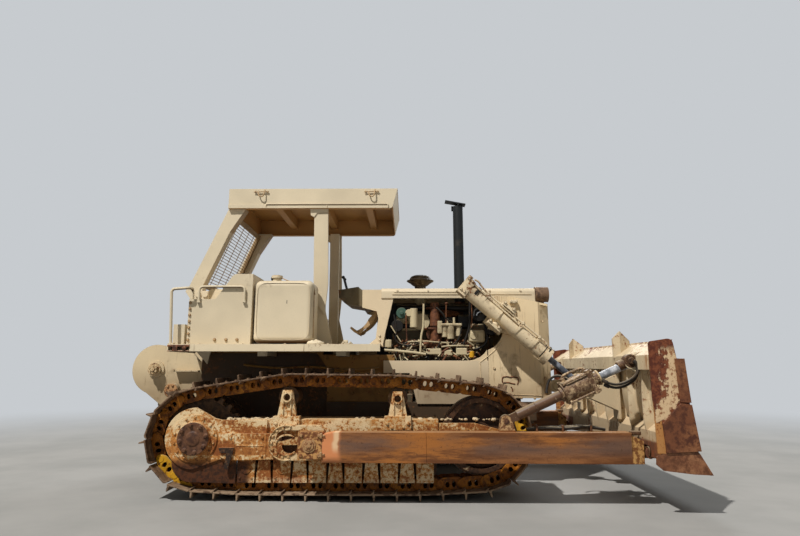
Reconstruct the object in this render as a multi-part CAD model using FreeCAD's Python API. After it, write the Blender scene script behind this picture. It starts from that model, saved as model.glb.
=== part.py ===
# Crawler bulldozer of the twenty-tonne class, with a straight blade, a roll-over canopy and a rear winch.
# Millimetres. X points forward, Y to the left, Z up, and the origin lies on the ground under the middle
# of the whole machine, blade and winch included. Heights in this source count from a level that lies
# body_lift above the ground, and every piece is raised by body_lift before it is written.
import FreeCAD
import Part
import math
import os

V = FreeCAD.Vector

# Driving dimensions of the running gear
sprocket_x = -1790.0
track_centres = 2720.0
track_gauge = 1981.0
shoe_width = 508.0
body_lift = 20.0
shoe_count = 38
grouser_height = 52.0
grouser_base = 24.0
grouser_tip = 12.0
grouser_share = 0.9
shoe_thickness = 14.0
pin_to_shoe = 58.0
pin_to_rail = 55.0
link_thickness = 42.0
link_inner_gap = 150.0
sprocket_z = 534.0
sprocket_pitch_radius = 400.0
sprocket_teeth = 23
sprocket_thickness = 66.0
idler_z = 552.0
idler_pin_radius = 418.0
idler_width = 190.0
track_phase = 126.0
carrier_shares = (0.318, 0.7074)
carrier_z = (912.0, 899.0)
carrier_radius = 96.5
carrier_pin_radius = 152.0
roller_count = 6
roller_rear_gap = 496.0
roller_front_gap = 539.0
roller_radius = 98.0
roller_flange = 16.0
rail_clearance = 0.4
roller_guard_bottom_z = 133.0
roller_bracket_half = 84.0

# Driving dimensions of the track frames
frame_width = 370.0
frame_top_z = 705.0
frame_bottom_z = 385.0
frame_plate = 30.0
hub_radius = 280.0
hub_cap_radius = 156.0

# Driving dimensions of the chassis and bodywork
case_half_width = 440.0
case_rear_x = -2010.0
case_front_x = -640.0
case_bottom_z = 430.0
deck_z = 1413.0
deck_edge = 70.0
deck_sheet = 12.0
deck_half_width = 1245.0
deck_rear_x = -2105.0
deck_front_x = -36.0
body_half_width = 500.0
side_plate = 16.0
panel_bottom_z = 830.0
opening_bottom_z = 1262.0
opening_top_z = 1940.0
guard_front_x = 1785.0
guard_chamfer = 130.0
guard_bottom_z = 870.0
guard_top_z = 1956.0
guard_slope_x = 1346.0
guard_nose_z = 1867.0
hood_half_width = 455.0
hood_top_z = 2052.0
hood_sheet = 10.0
hood_front_x = 1640.0
hood_rear_x = -270.0
cowl_sheet = 60.0

# Driving dimensions of the canopy
roof_rear_x = -1728.0
roof_front_x = 125.0
roof_half_width = 750.0
roof_top_z = 3115.0
roof_depth = 222.0
roof_sheet = 12.0
post_y = 660.0
post_width = 130.0
front_post_x = -712.0

# Driving dimensions of the blade and its arms
blade_width = 3658.0
blade_back_x = 2330.0
blade_front_x = 2784.0
blade_top_z = 1432.0
blade_edge_z = 305.0
end_plate = 32.0
arm_pivot_x = -675.0
arm_pivot_z = 500.0
arm_inner_y = 1300.0
arm_width = 170.0
arm_bottom_z = 345.0
arm_top_z = 615.0
arm_front_x = 2246.0
arm_block = 100.0
arm_pin_x = 2400.0
arm_pin_z = 440.0
arm_pin_radius = 26.0
wear_plate = 14.0

# Driving dimensions of the lift cylinders
lift_y = 700.0
trunnion_x = 1218.0
trunnion_z = 1708.0
lift_angle = -41.0
lift_eye_distance = 1140.0
barrel_radius = 77.0
gimbal_inner = 102.0
gimbal_outer = 146.0
gimbal_half = 84.0
barrel_head = 500.0
barrel_gland = 640.0
rod_radius = 32.0

# Driving dimensions of the winch
winch_x = -2518.0
winch_z = 1169.0
winch_radius = 266.0
winch_half_width = 400.0
winch_plate = 45.0

running = 0.4
roof_bottom_z = roof_top_z - roof_depth
carrier_x = tuple(sprocket_x + share * track_centres for share in carrier_shares)
roller_first_x = sprocket_x + roller_rear_gap
roller_spacing = (track_centres - roller_rear_gap - roller_front_gap) / (roller_count - 1)
roller_x = [roller_first_x + k * roller_spacing for k in range(roller_count)]
hub_inner_y = -862.0 - running
frame_inner_y = track_gauge / 2 - frame_width / 2 - running
hub_outer_y = -track_gauge / 2 - frame_width / 2 + 60 + running
track_y = track_gauge / 2
idler_x = sprocket_x + track_centres
run_z = grouser_height + shoe_thickness + pin_to_shoe - body_lift
roller_reach = roller_radius + pin_to_rail + rail_clearance
eye_x = trunnion_x + lift_eye_distance * math.cos(math.radians(lift_angle))
eye_z = trunnion_z + lift_eye_distance * math.sin(math.radians(lift_angle))


# Shapes that the pieces are made from
def box(x0, x1, y0, y1, z0, z1):
    low = V(min(x0, x1), min(y0, y1), min(z0, z1))
    return Part.makeBox(abs(x1 - x0), abs(y1 - y0), abs(z1 - z0), low)


def rod(start, end, radius):
    axis = V(*end) - V(*start)
    return Part.makeCylinder(radius, axis.Length, V(*start), axis)


def cone(start, end, radius_start, radius_end):
    axis = V(*end) - V(*start)
    return Part.makeCone(radius_start, radius_end, axis.Length, V(*start), axis)


def tube(start, end, outer, inner):
    return rod(start, end, outer).cut(rod(start, end, inner))


def outline(path, place):
    """A closed face. A row of path is an end point, or an end point and the point its arc goes through."""
    edges = []
    last = place(*path[-1][:2])
    for row in path:
        point = place(*row[:2])
        if len(row) == 4:
            edges.append(Part.Arc(last, place(*row[2:]), point).toShape())
        elif point.distanceToPoint(last) > 1e-6:
            edges.append(Part.LineSegment(last, point).toShape())
        last = point
    return Part.Face(Part.Wire(edges))


def side_shape(path, y0, y1):
    """An outline of (x, z) points, drawn out from y0 to y1."""
    return outline(path, lambda x, z: V(x, y0, z)).extrude(V(0, y1 - y0, 0))


def cross_shape(path, x0, x1):
    """An outline of (y, z) points, drawn out from x0 to x1."""
    return outline(path, lambda y, z: V(x0, y, z)).extrude(V(x1 - x0, 0, 0))


def plan_shape(path, z0, z1):
    """An outline of (x, y) points, drawn out from z0 to z1."""
    return outline(path, lambda x, y: V(x, y, z0)).extrude(V(0, 0, z1 - z0))


def joined(*shapes):
    first, rest = shapes[0], list(shapes[1:])
    return first.fuse(rest).removeSplitter() if rest else first


def without(shape, *tools):
    return shape.cut(list(tools))


def other_side(shape):
    return shape.mirror(V(0, 0, 0), V(0, 1, 0))


def both_sides(*shapes):
    return list(shapes) + [other_side(s) for s in shapes]


def rounded(shape, radius):
    return shape.makeFillet(radius, shape.Edges)


def bent_bar(points, radius, bend):
    """A round bar through points, with each corner bent to the radius bend."""
    nodes = [V(*p) for p in points]
    edges, last = [], nodes[0]
    for before, corner, after in zip(nodes, nodes[1:], nodes[2:]):
        into = (corner - before).normalize()
        out = (after - corner).normalize()
        half = into.getAngle(out) / 2
        back = bend * math.tan(half)
        start, end = corner - into * back, corner + out * back
        middle = corner + (out - into).normalize() * (bend / math.cos(half) - bend)
        edges.append(Part.LineSegment(last, start).toShape())
        edges.append(Part.Arc(start, middle, end).toShape())
        last = end
    edges.append(Part.LineSegment(last, nodes[-1]).toShape())
    path = Part.Wire(edges)
    ring = Part.Wire(Part.makeCircle(radius, nodes[0], nodes[1] - nodes[0]))
    return path.makePipeShell([ring], True, False)


def solids_of(things):
    found = []
    for thing in things:
        found += solids_of(thing) if isinstance(thing, list) else thing.Solids
    return found


made = {}


def node(name, *things):
    solids = solids_of(things)
    made[name] = solids[0] if len(solids) == 1 else Part.makeCompound(solids)


# Tracks: the pins lie on a belt round the sprocket, the carrier rollers, the idler and the end rollers
def belt_points(count):
    circles = [
        (sprocket_x, sprocket_z, sprocket_pitch_radius),
        (carrier_x[0], carrier_z[0], carrier_pin_radius),
        (carrier_x[1], carrier_z[1], carrier_pin_radius),
        (idler_x, idler_z, idler_pin_radius),
        (roller_x[-1], run_z + roller_reach, roller_reach),
        (roller_x[0], run_z + roller_reach, roller_reach),
    ]
    normals = []
    for (xa, za, ra), (xb, zb, rb) in zip(circles, circles[1:] + circles[:1]):
        heading = math.atan2(zb - za, xb - xa)
        lean = math.asin((rb - ra) / math.hypot(xb - xa, zb - za))
        normals.append(heading + math.pi / 2 + lean)
    runs = []
    for k, (x, z, r) in enumerate(circles):
        start, end = normals[k - 1], normals[k]
        while end > start:
            end -= 2 * math.pi
        runs.append(("arc", x, z, r, start, end, r * (start - end)))
        xn, zn, rn = circles[(k + 1) % len(circles)]
        a = (x + r * math.cos(end), z + r * math.sin(end))
        b = (xn + rn * math.cos(end), zn + rn * math.sin(end))
        runs.append(("line", a, b, math.hypot(b[0] - a[0], b[1] - a[1])))
    total = sum(run[-1] for run in runs)
    points = []
    for k in range(count):
        s = (total * (k + 0.5) / count - track_phase) % total
        for run in runs:
            if s <= run[-1]:
                break
            s -= run[-1]
        if run[0] == "arc":
            _, x, z, r, start, end, length = run
            angle = start + (end - start) * s / length
            points.append((x + r * math.cos(angle), z + r * math.sin(angle)))
        else:
            _, a, b, length = run
            points.append((a[0] + (b[0] - a[0]) * s / length, a[1] + (b[1] - a[1]) * s / length))
    return points


def reach_to_pins(x, z):
    """Distance from a point inside the track to the nearest straight line between two pins."""
    pins = belt_points(shoe_count)
    nearest = None
    for (xa, za), (xb, zb) in zip(pins, pins[1:] + pins[:1]):
        dx, dz = xb - xa, zb - za
        share = ((x - xa) * dx + (z - za) * dz) / (dx * dx + dz * dz)
        share = min(1.0, max(0.0, share))
        reach = math.hypot(xa + dx * share - x, za + dz * share - z)
        nearest = reach if nearest is None else min(nearest, reach)
    return nearest


def carrier_height(x, z):
    """Height at which a carrier roller just clears the rails that it holds up."""
    for _ in range(8):
        z -= carrier_radius + pin_to_rail + rail_clearance - reach_to_pins(x, z)
    return z


def roller_height(x):
    """Height at which a track roller just clears the rails that it runs on."""
    z = run_z + roller_reach
    for _ in range(8):
        z += roller_reach - reach_to_pins(x, z)
    return z


def track():
    """The right-hand track: a ring of grouser shoes on two rings of links."""
    pins = belt_points(shoe_count)
    spans = list(zip(pins, pins[1:] + pins[:1]))
    normals = []
    for (xa, za), (xb, zb) in spans:
        length = math.hypot(xb - xa, zb - za)
        normals.append(((zb - za) / -length, (xb - xa) / length))
    top = pin_to_shoe + shoe_thickness
    tread, inside, rail = [], [], []
    for k, ((xa, za), (xb, zb)) in enumerate(spans):
        nx, nz = normals[k]
        px, pz = normals[k - 1]
        tx, tz = nz, -nx
        length = math.hypot(xb - xa, zb - za)
        spot = length * grouser_share
        rise = (
            (0, top),
            (spot - grouser_base / 2, top),
            (spot - grouser_tip / 2, top + grouser_height),
            (spot + grouser_tip / 2, top + grouser_height),
            (spot + grouser_base / 2, top),
            (length - 1.0, top),
        )
        for along, out in rise:
            tread.append((xa + tx * along + nx * out, za + tz * along + nz * out))
        mx, mz = nx + px, nz + pz
        scale = 2 / (mx * mx + mz * mz)
        inside.append((xa + mx * scale * pin_to_shoe, za + mz * scale * pin_to_shoe))
        rail.append((xa - mx * scale * pin_to_rail, za - mz * scale * pin_to_rail))
    near = -track_y - shoe_width / 2
    shoes = side_shape(tread, near, near + shoe_width).cut(side_shape(inside, near, near + shoe_width))
    chain = []
    for y in (-track_y - link_inner_gap / 2 - link_thickness, -track_y + link_inner_gap / 2):
        band = side_shape(inside, y, y + link_thickness).cut(side_shape(rail, y, y + link_thickness))
        chain.append(band)
    return joined(shoes, *chain)


node("tracks", both_sides(track()))


# Sprockets, idlers and rollers
idler_radius = reach_to_pins(idler_x, idler_z) - pin_to_rail - rail_clearance
carrier_axle_z = [carrier_height(x, z) for x, z in zip(carrier_x, carrier_z)]


def sprocket():
    tooth_tip, tooth_root = sprocket_pitch_radius + 8, sprocket_pitch_radius - 42
    step = 2 * math.pi / sprocket_teeth
    pin_x, pin_height = belt_points(shoe_count)[3]
    first_root = math.atan2(pin_height - sprocket_z, pin_x - sprocket_x)
    profile = []
    for k in range(sprocket_teeth):
        for share, radius in (
            (0.20, tooth_root), (0.37, tooth_tip), (0.63, tooth_tip), (0.80, tooth_root)
        ):
            angle = first_root + step * (k + share)
            profile.append((sprocket_x + radius * math.cos(angle), sprocket_z + radius * math.sin(angle)))
    y0, y1 = -track_y - sprocket_thickness / 2, -track_y + sprocket_thickness / 2
    rim = side_shape(profile, y0, y1)
    dish = tube((sprocket_x, y0 - 1, sprocket_z), (sprocket_x, y0 + 22, sprocket_z), 350, 190)
    hub = rod((sprocket_x, hub_outer_y, sprocket_z), (sprocket_x, hub_inner_y, sprocket_z), 150)
    return joined(without(rim, dish), hub)


node("sprockets", both_sides(sprocket()))


def idler():
    half = idler_width / 2
    tread = rod((idler_x, -track_y - half, idler_z), (idler_x, -track_y + half, idler_z), idler_radius)
    guide = rod((idler_x, -track_y - 66, idler_z), (idler_x, -track_y + 66, idler_z), idler_radius + 22)
    hollow = [
        tube((idler_x, y, idler_z), (idler_x, y + 60, idler_z), idler_radius - 45, 120)
        for y in (-track_y - half - 1, -track_y + half - 59)
    ]
    shaft = rod((idler_x, -1190, idler_z), (idler_x, -790, idler_z), 48)
    return joined(without(joined(tread, guide), *hollow), shaft)


node("idlers", both_sides(idler()))


def roller(x, z, radius, half, flange):
    """A flanged roller on its shaft, on the right-hand side."""
    y = -track_y
    drum = rod((x, y - half, z), (x, y + half, z), radius)
    flanges = [rod((x, y + s * 62 - 8, z), (x, y + s * 62 + 8, z), radius + flange) for s in (-1, 1)]
    shaft = rod((x, y - 170, z), (x, y + 170, z), 34)
    return joined(drum, shaft, *(flanges if flange else []))


roller_z = [roller_height(x) for x in roller_x]
rollers = [roller(x, z, roller_radius, 125, roller_flange) for x, z in zip(roller_x, roller_z)]
node("track_rollers", both_sides(*rollers))
carriers = [
    joined(
        rod((x, -track_y - 118, z), (x, -track_y + 118, z), carrier_radius),
        rod((x, -1150, z), (x, -800, z), 32),
    )
    for x, z in zip(carrier_x, carrier_axle_z)
]
node("carrier_rollers", both_sides(*carriers))


# Track frames: a beam over the rollers, the outboard bearing of the sprocket and the idler's yoke
def roller_guards(y):
    """A bracket over each roller's end and a tapered one between every two rollers."""
    top = frame_bottom_z + 1
    low = roller_guard_bottom_z
    wide = roller_bracket_half
    guards = []
    for x in roller_x:
        path = ((x - wide, top), (x - wide + 4, low), (x + wide - 4, low), (x + wide, top))
        guards.append(side_shape(path, y, y + frame_plate))
    for x in roller_x[:-1]:
        middle = x + roller_spacing / 2
        half = roller_spacing / 2 - wide
        path = (
            (middle - half * 0.6, top),
            (middle - half * 0.86, low),
            (middle + half * 0.86, low),
            (middle + half * 0.6, top),
        )
        guards.append(side_shape(path, y, y + frame_plate))
    return guards


def track_frame():
    outer, inner = -track_y - frame_width / 2, -track_y + frame_width / 2
    hub = (sprocket_x, sprocket_z)
    beam_rear = sprocket_x + sprocket_pitch_radius + 40
    beam_front = idler_x - idler_radius - 60
    pocket = roller_radius + roller_flange + 6
    roller_spots = list(zip(roller_x, roller_z))
    pockets = [rod((x, -track_y - 130, z), (x, -track_y + 130, z), pocket) for x, z in roller_spots]
    beam = without(box(beam_rear, beam_front, outer, inner, frame_bottom_z, frame_top_z), *pockets)
    skirts = roller_guards(outer) + roller_guards(inner - frame_plate)
    roller_bores = [rod((x, outer - 5, z), (x, inner + 5, z), 34 + running) for x, z in roller_spots]
    carrier_bores = [
        rod((x, outer - 80, z), (x, -track_y - 130, z), 32 + running)
        for x, z in zip(carrier_x, carrier_axle_z)
    ]
    # Outboard bearing plate round the hub, and the neck that joins it to the beam
    plate_y = outer - 32
    neck_x = sprocket_x + 685
    rear_plate = side_shape(
        (
            (hub[0], hub[1] - hub_radius),
            (hub[0], hub[1] + hub_radius, hub[0] - hub_radius, hub[1]),
            (hub[0] + 190, hub[1] + 180),
            (hub[0] + 250, frame_top_z - 4),
            (neck_x, frame_top_z - 4),
            (neck_x, frame_bottom_z),
            (hub[0] + 250, frame_bottom_z - 40),
        ),
        plate_y,
        outer + 12,
    )
    drum = rod((hub[0], plate_y - 12, hub[1]), (hub[0], outer + 60, hub[1]), hub_radius - 62)
    cap = cone(
        (hub[0], -1252, hub[1]),
        (hub[0], plate_y - 11, hub[1]),
        hub_cap_radius - 8,
        hub_cap_radius,
    )
    sill = side_shape(
        (
            (hub[0] + 252, 372),
            (hub[0] + 252, 560),
            (hub[0] + 276, 581),
            (neck_x + 150, 581),
            (neck_x + 150, 350),
            (hub[0] + 330, 338),
        ),
        plate_y - 22,
        outer + 12,
    )
    # Rock guard with a rolled lip under the sprocket, and its black hanger
    rear_guard = side_shape(
        (
            (hub[0] - 210, 345),
            (hub[0] - 204, 287),
            (hub[0] - 5, 139, hub[0] - 130, 176),
            (roller_first_x - 92, 128),
            (roller_first_x - 92, 386),
            (hub[0] + 250, 372),
            (hub[0] + 120, 330),
        ),
        outer - 16,
        outer + 12,
    )
    hanger = side_shape(
        (
            (hub[0] + 245, 452),
            (hub[0] + 392, 458),
            (hub[0] + 372, 372),
            (hub[0] + 344, 268),
            (hub[0] + 306, 268),
            (hub[0] + 322, 405),
            (hub[0] + 262, 410),
        ),
        plate_y - 40,
        plate_y - 10,
    )
    # Yoke of the idler
    fork = []
    for y in (outer + 8, inner - 38):
        fork.append(
            side_shape(
                (
                    (beam_front - 40, 420),
                    (idler_x - 60, 400),
                    (idler_x + 190, 470),
                    (idler_x + 190, 610),
                    (idler_x - 60, 672),
                    (beam_front - 40, 672),
                ),
                y,
                y + 30,
            )
        )
    fork_bore = rod((idler_x, outer, idler_z), (idler_x, inner, idler_z), 48 + running)
    # Pedestals of the carrier rollers
    pedestals = []
    for x, z in zip(carrier_x, carrier_axle_z):
        stand = side_shape(
            (
                (x - 92, frame_top_z + 20),
                (x - 52, z + 40),
                (x - 44, z + 68),
                (x + 44, z + 68),
                (x + 52, z + 40),
                (x + 92, frame_top_z + 20),
            ),
            outer - 12,
            outer + 48,
        )
        ribs = [
            box(x + s * 38 - 6, x + s * 38 + 6, outer - 24, outer, frame_top_z, z + 50)
            for s in (-1, 1)
        ]
        foot = box(x - 126, x + 126, outer - 30, outer + 60, frame_top_z - 95, frame_top_z + 32)
        boss = rod((x, outer - 40, z), (x, -track_y - 130, z), 46)
        pedestals += [stand, foot, boss] + ribs
    # Trunnion mount for the push arm
    mount_x = arm_pivot_x - 242
    mount_half = 158.0
    mount = side_shape(
        (
            (mount_x, arm_pivot_z - mount_half),
            (mount_x, arm_pivot_z + mount_half, mount_x - mount_half, arm_pivot_z),
            (arm_pivot_x + 80, arm_pivot_z + mount_half),
            (arm_pivot_x + 116, arm_pivot_z + 118),
            (arm_pivot_x + 116, arm_pivot_z - 118),
            (arm_pivot_x + 80, arm_pivot_z - mount_half),
        ),
        outer - 75,
        outer + 12,
    )
    upper_window = side_shape(
        (
            (mount_x + 140, arm_pivot_z + 60),
            (mount_x + 140, arm_pivot_z + 112),
            (mount_x - 20, arm_pivot_z + 112),
            (mount_x - 88, arm_pivot_z + 22, mount_x - 76, arm_pivot_z + 80),
            (mount_x - 40, arm_pivot_z + 12),
        ),
        outer - 80,
        outer - 34,
    )
    lower_window = side_shape(
        (
            (mount_x + 140, arm_pivot_z - 20),
            (mount_x - 30, arm_pivot_z - 20),
            (mount_x + 40, arm_pivot_z - 94, mount_x - 12, arm_pivot_z - 74),
            (mount_x + 140, arm_pivot_z - 94),
        ),
        outer - 80,
        outer - 34,
    )
    trunnion = rod((arm_pivot_x, outer - 60, arm_pivot_z), (arm_pivot_x, -1400, arm_pivot_z), 62)
    ball = Part.makeSphere(88, V(arm_pivot_x, -arm_inner_y - arm_width / 2, arm_pivot_z))
    body = joined(beam, *skirts, rear_plate, drum, cap, sill, rear_guard, hanger, *fork, *pedestals)
    mount = without(mount, upper_window, lower_window)
    body = joined(body, mount, joined(trunnion, ball))
    return without(body, fork_bore, *roller_bores, *carrier_bores)


node("track_frames", both_sides(track_frame()))


# Main frame: transmission case, final drives, engine rails and the guard under them
def final_drive():
    case = cone((sprocket_x, -case_half_width, sprocket_z), (sprocket_x, -735, sprocket_z), 345, 300)
    nose = cone((sprocket_x, -735, sprocket_z), (sprocket_x, -862, sprocket_z), 300, 190)
    rim = rod((sprocket_x, -600, sprocket_z), (sprocket_x, -630, sprocket_z), 372)
    return joined(case, nose, rim)


case = side_shape(
    (
        (case_rear_x, case_bottom_z + 130),
        (case_rear_x + 130, case_bottom_z),
        (case_front_x, case_bottom_z),
        (case_front_x, 1180),
        (case_front_x - 120, deck_z - deck_edge - 1),
        (case_rear_x + 60, deck_z - deck_edge - 1),
        (case_rear_x, 1280),
    ),
    -case_half_width,
    case_half_width,
)
rail_y = body_half_width - side_plate - 30 - running
rails = [
    box(case_front_x - 1, guard_front_x - 190, s * rail_y - 30, s * rail_y + 30, 640, 829)
    for s in (-1, 1)
]
belly = plan_shape(
    (
        (-641, -430),
        (1500, -430),
        (guard_front_x - 190, -330),
        (guard_front_x - 190, 330),
        (1500, 430),
        (-641, 430),
    ),
    598,
    640,
)
drives = both_sides(final_drive())
pivot_shaft = rod((-1270, -frame_inner_y, 545), (-1270, frame_inner_y, 545), 60)
node("main_frame", joined(case, belly, *rails, *drives, pivot_shaft))

# Equalizer bar: the cross beam that the front of the track frames hangs from
bar = cross_shape(
    (
        (-frame_inner_y, 505),
        (-frame_inner_y, 590),
        (-430, 598 - running),
        (430, 598 - running),
        (frame_inner_y, 590),
        (frame_inner_y, 505),
        (320, 440),
        (-320, 440),
    ),
    360,
    520,
)
node("equalizer_bar", bar)

# Side panels under the engine, and the radiator guard with its swept rear edge
panel = side_shape(
    (
        (330, panel_bottom_z - 20),
        (1100, panel_bottom_z - 20),
        (1100, 1262),
        (deck_front_x + 6, opening_bottom_z),
        (deck_front_x + 6, 1130),
        (250, 1130),
    ),
    -body_half_width,
    -body_half_width + side_plate,
)
node("side_panels", both_sides(panel))

guard_side = side_shape(
    (
        (1100 + running, guard_bottom_z),
        (guard_front_x - guard_chamfer, guard_bottom_z),
        (guard_front_x - guard_chamfer, guard_top_z),
        (1090, guard_top_z),
        (1180, 1800),
        (1100 + running, 1375, 1262, 1560),
    ),
    -body_half_width,
    -body_half_width + side_plate,
)
corner = plan_shape(
    (
        (guard_front_x - guard_chamfer, -body_half_width),
        (guard_front_x, -body_half_width + 100),
        (guard_front_x, -body_half_width + 130),
        (guard_front_x - 20, -body_half_width + 130),
        (guard_front_x - 20, -body_half_width + 110),
        (guard_front_x - guard_chamfer, -body_half_width + side_plate),
    ),
    guard_bottom_z,
    guard_top_z,
)
nose_cut = side_shape(
    (
        (guard_slope_x, guard_top_z),
        (guard_front_x + 1, guard_nose_z),
        (guard_front_x + 1, guard_top_z + 1),
        (guard_slope_x, guard_top_z + 1),
    ),
    -body_half_width - 1,
    body_half_width + 1,
)
top_plate = side_shape(
    (
        (1090, guard_top_z - 26),
        (guard_slope_x, guard_top_z - 26),
        (guard_front_x - 20, guard_nose_z - 22),
        (guard_front_x - 20, guard_nose_z + 4),
        (guard_slope_x, guard_top_z),
        (1090, guard_top_z),
    ),
    -body_half_width + side_plate,
    body_half_width - side_plate,
)
lower_front = box(guard_front_x - 20, guard_front_x, -370, 370, guard_bottom_z, 1010)
upper_front = box(guard_front_x - 20, guard_front_x, -370, 370, 1800, guard_top_z)
floor_plate = box(
    1200,
    guard_front_x - 20,
    -body_half_width + side_plate,
    body_half_width - side_plate,
    870,
    900,
)
node(
    "radiator_guard",
    without(
        joined(*both_sides(guard_side, corner), top_plate, lower_front, upper_front, floor_plate),
        nose_cut,
    ),
)

# Grille: a frame of vertical bars in the front of the guard
bars = [
    box(guard_front_x - 16, guard_front_x - 4, y - 9, y + 9, 1025, 1785)
    for y in range(-320, 321, 64)
]
frame_bars = [
    box(guard_front_x - 20, guard_front_x, -369, 369, 1010 + running, 1040),
    box(guard_front_x - 20, guard_front_x, -369, 369, 1770, 1800 - running),
    box(guard_front_x - 20, guard_front_x, -369, -345, 1040, 1770),
    box(guard_front_x - 20, guard_front_x, 345, 369, 1040, 1770),
]
node("grille", joined(*frame_bars, *bars))

# Radiator, fan and engine
node("radiator_core", box(1560, 1690, -430, 430, 900 + running, 1850))


def fan():
    hub = rod((1440, 0, 1400), (1520, 0, 1400), 85)
    shaft = rod((1190 + running, 0, 1400), (1440, 0, 1400), 30)
    blade = box(1460, 1480, -62, 62, 70, 380)
    blade.rotate(V(1470, 0, 0), V(0, 0, 1), 28)
    blade.translate(V(0, 0, 1400))
    blades = []
    for k in range(6):
        one = blade.copy()
        one.rotate(V(1470, 0, 1400), V(1, 0, 0), 60 * k)
        blades.append(one)
    return joined(hub, shaft, *blades)


node("cooling_fan", fan())

block = joined(
    box(80, 1150, -235, 235, 900, 1500),
    box(140, 1100, -200, 200, 700, 900),
    box(60, 80, -290, 290, 860, 1560),
    box(1150, 1190, -210, 210, 880, 1520),
    box(110, 1130, -170, 170, 1500, 1640),
)
covers = [box(x, x + 300, -120, 120, 1640, 1735) for x in (140, 470, 800)]
mounts = [box(x, x + 120, s * 235, s * 483, 829 + running, 905) for x in (160, 960) for s in (-1, 1)]
node("engine_block", joined(block, *covers, *mounts))

manifold_y = -300.0
manifold = joined(
    rod((180, manifold_y, 1440), (950, manifold_y, 1440), 48),
    *[rod((x, manifold_y, 1440), (x, -235 - running, 1440), 36) for x in (230, 370, 510, 650, 790, 930)],
)
riser = joined(
    rod((535, manifold_y - 40, 1440), (535, manifold_y - 40, 1640), 52),
    rod((535, manifold_y - 40, 1560), (535, manifold_y + 60, 1560), 95),
    cone((535, manifold_y - 40, 1640), (535, manifold_y - 40, 1900), 60, 48),
)
node("exhaust_manifold", joined(manifold, riser))
node(
    "exhaust_crossover",
    joined(
        bent_bar(((608, -285, 1790), (843, -60, 1790), (843, 0, 1860), (843, 0, 1925)), 40, 30),
        rod((843, 0, 1915), (843, 0, 1941 - running), 62),
    ),
)


def canister(x, y, z0, z1, radius):
    return joined(rod((x, y, z0), (x, y, z1), radius), rod((x, y, z1), (x, y, z1 + 22), radius + 10))


filters = [canister(x, -320, 1497, 1610, 42) for x in (690, 770)]
filter_head = box(640, 830, -365, -170 - running, 1631, 1665)
pump = joined(
    box(540, 860, -330, -235 - running, 1270, 1360),
    rod((860, -300, 1315), (960, -300, 1315), 58),
)
generator = joined(
    rod((930, -320, 1585), (1080, -320, 1585), 82),
    rod((1080, -320, 1585), (1120, -320, 1585), 60),
    box(985, 1050, -330, -170 - running, 1500 + running, 1545),
)
starter = joined(
    rod((95, -300, 1330), (330, -300, 1330), 62),
    box(82, 110, -350, -235 - running, 1270, 1400),
)
node("engine_auxiliaries", joined(filter_head, *filters), pump, generator, starter)

air_box = joined(
    rod((170, -330, 1745), (170, -180, 1745), 62),
    rod((285, -330, 1740), (285, -180, 1740), 55),
    rod((385, -320, 1690), (385, -180, 1690), 92),
    box(110, 470, -190, -170 - running, 1600, 1780),
)
duct = rod((382, 0, 1735 + running), (382, 0, hood_top_z - hood_sheet - running), 74)
node("air_cleaner", air_box, duct)
node(
    "precleaner",
    joined(
        rod((382, 0, hood_top_z + running), (382, 0, 2131), 88),
        cone((382, 0, 2131), (382, 0, 2185), 100, 158),
        cone((382, 0, 2185), (382, 0, 2262), 158, 70),
    ),
)
stack = tube((843, 0, 1941), (843, 0, 3100), 60, 54)
cap = joined(
    rod((843, -75, 3112), (843, 75, 3112), 10),
    box(770, 900, 60, 75, 3060, 3122),
    side_shape(((690, 3168), (935, 3122), (932, 3108), (688, 3154)), -62, 62),
)
hinge_strap = box(833, 853, 56, 76, 3030, 3122)
node("exhaust_stack", joined(stack, hinge_strap, cap))

# Hood and cowl
def nose_z(x):
    """Height of the radiator guard's top at x, where it slopes to the front."""
    share = (x - guard_slope_x) / (guard_front_x + 1 - guard_slope_x)
    return guard_top_z + (guard_nose_z - guard_top_z) * share


hood_path = (
    (-hood_half_width, opening_top_z),
    (-hood_half_width, hood_top_z - 46),
    (-hood_half_width + 46, hood_top_z, -hood_half_width + 13, hood_top_z - 13),
    (hood_half_width - 46, hood_top_z),
    (hood_half_width, hood_top_z - 46, hood_half_width - 13, hood_top_z - 13),
    (hood_half_width, opening_top_z),
    (hood_half_width - hood_sheet, opening_top_z),
    (hood_half_width - hood_sheet, hood_top_z - 50),
    (hood_half_width - 50, hood_top_z - hood_sheet, hood_half_width - 22, hood_top_z - 22),
    (-hood_half_width + 50, hood_top_z - hood_sheet),
    (-hood_half_width + hood_sheet, hood_top_z - 50, -hood_half_width + 22, hood_top_z - 22),
    (-hood_half_width + hood_sheet, opening_top_z),
)
hood = without(
    cross_shape(hood_path, -60, hood_front_x),
    rod((843, 0, 1950), (843, 0, 2100), 60 + running),
    rod((382, 0, 1950), (382, 0, 2100), 78),
    side_shape(
        (
            (1085, 1900),
            (hood_front_x + 1, 1900),
            (hood_front_x + 1, nose_z(hood_front_x + 1) + running),
            (guard_slope_x, guard_top_z + running),
            (1085, guard_top_z + running),
        ),
        -hood_half_width - 1,
        hood_half_width + 1,
    ),
)
skirt = side_shape(
    (
        (guard_slope_x + 40, opening_top_z + 30),
        (guard_slope_x + 80, nose_z(guard_slope_x + 80) + running),
        (hood_front_x, nose_z(hood_front_x) + running),
        (hood_front_x, opening_top_z + 30),
    ),
    -hood_half_width,
    -hood_half_width + hood_sheet,
)
node("hood", joined(hood, *both_sides(skirt)))
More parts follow.
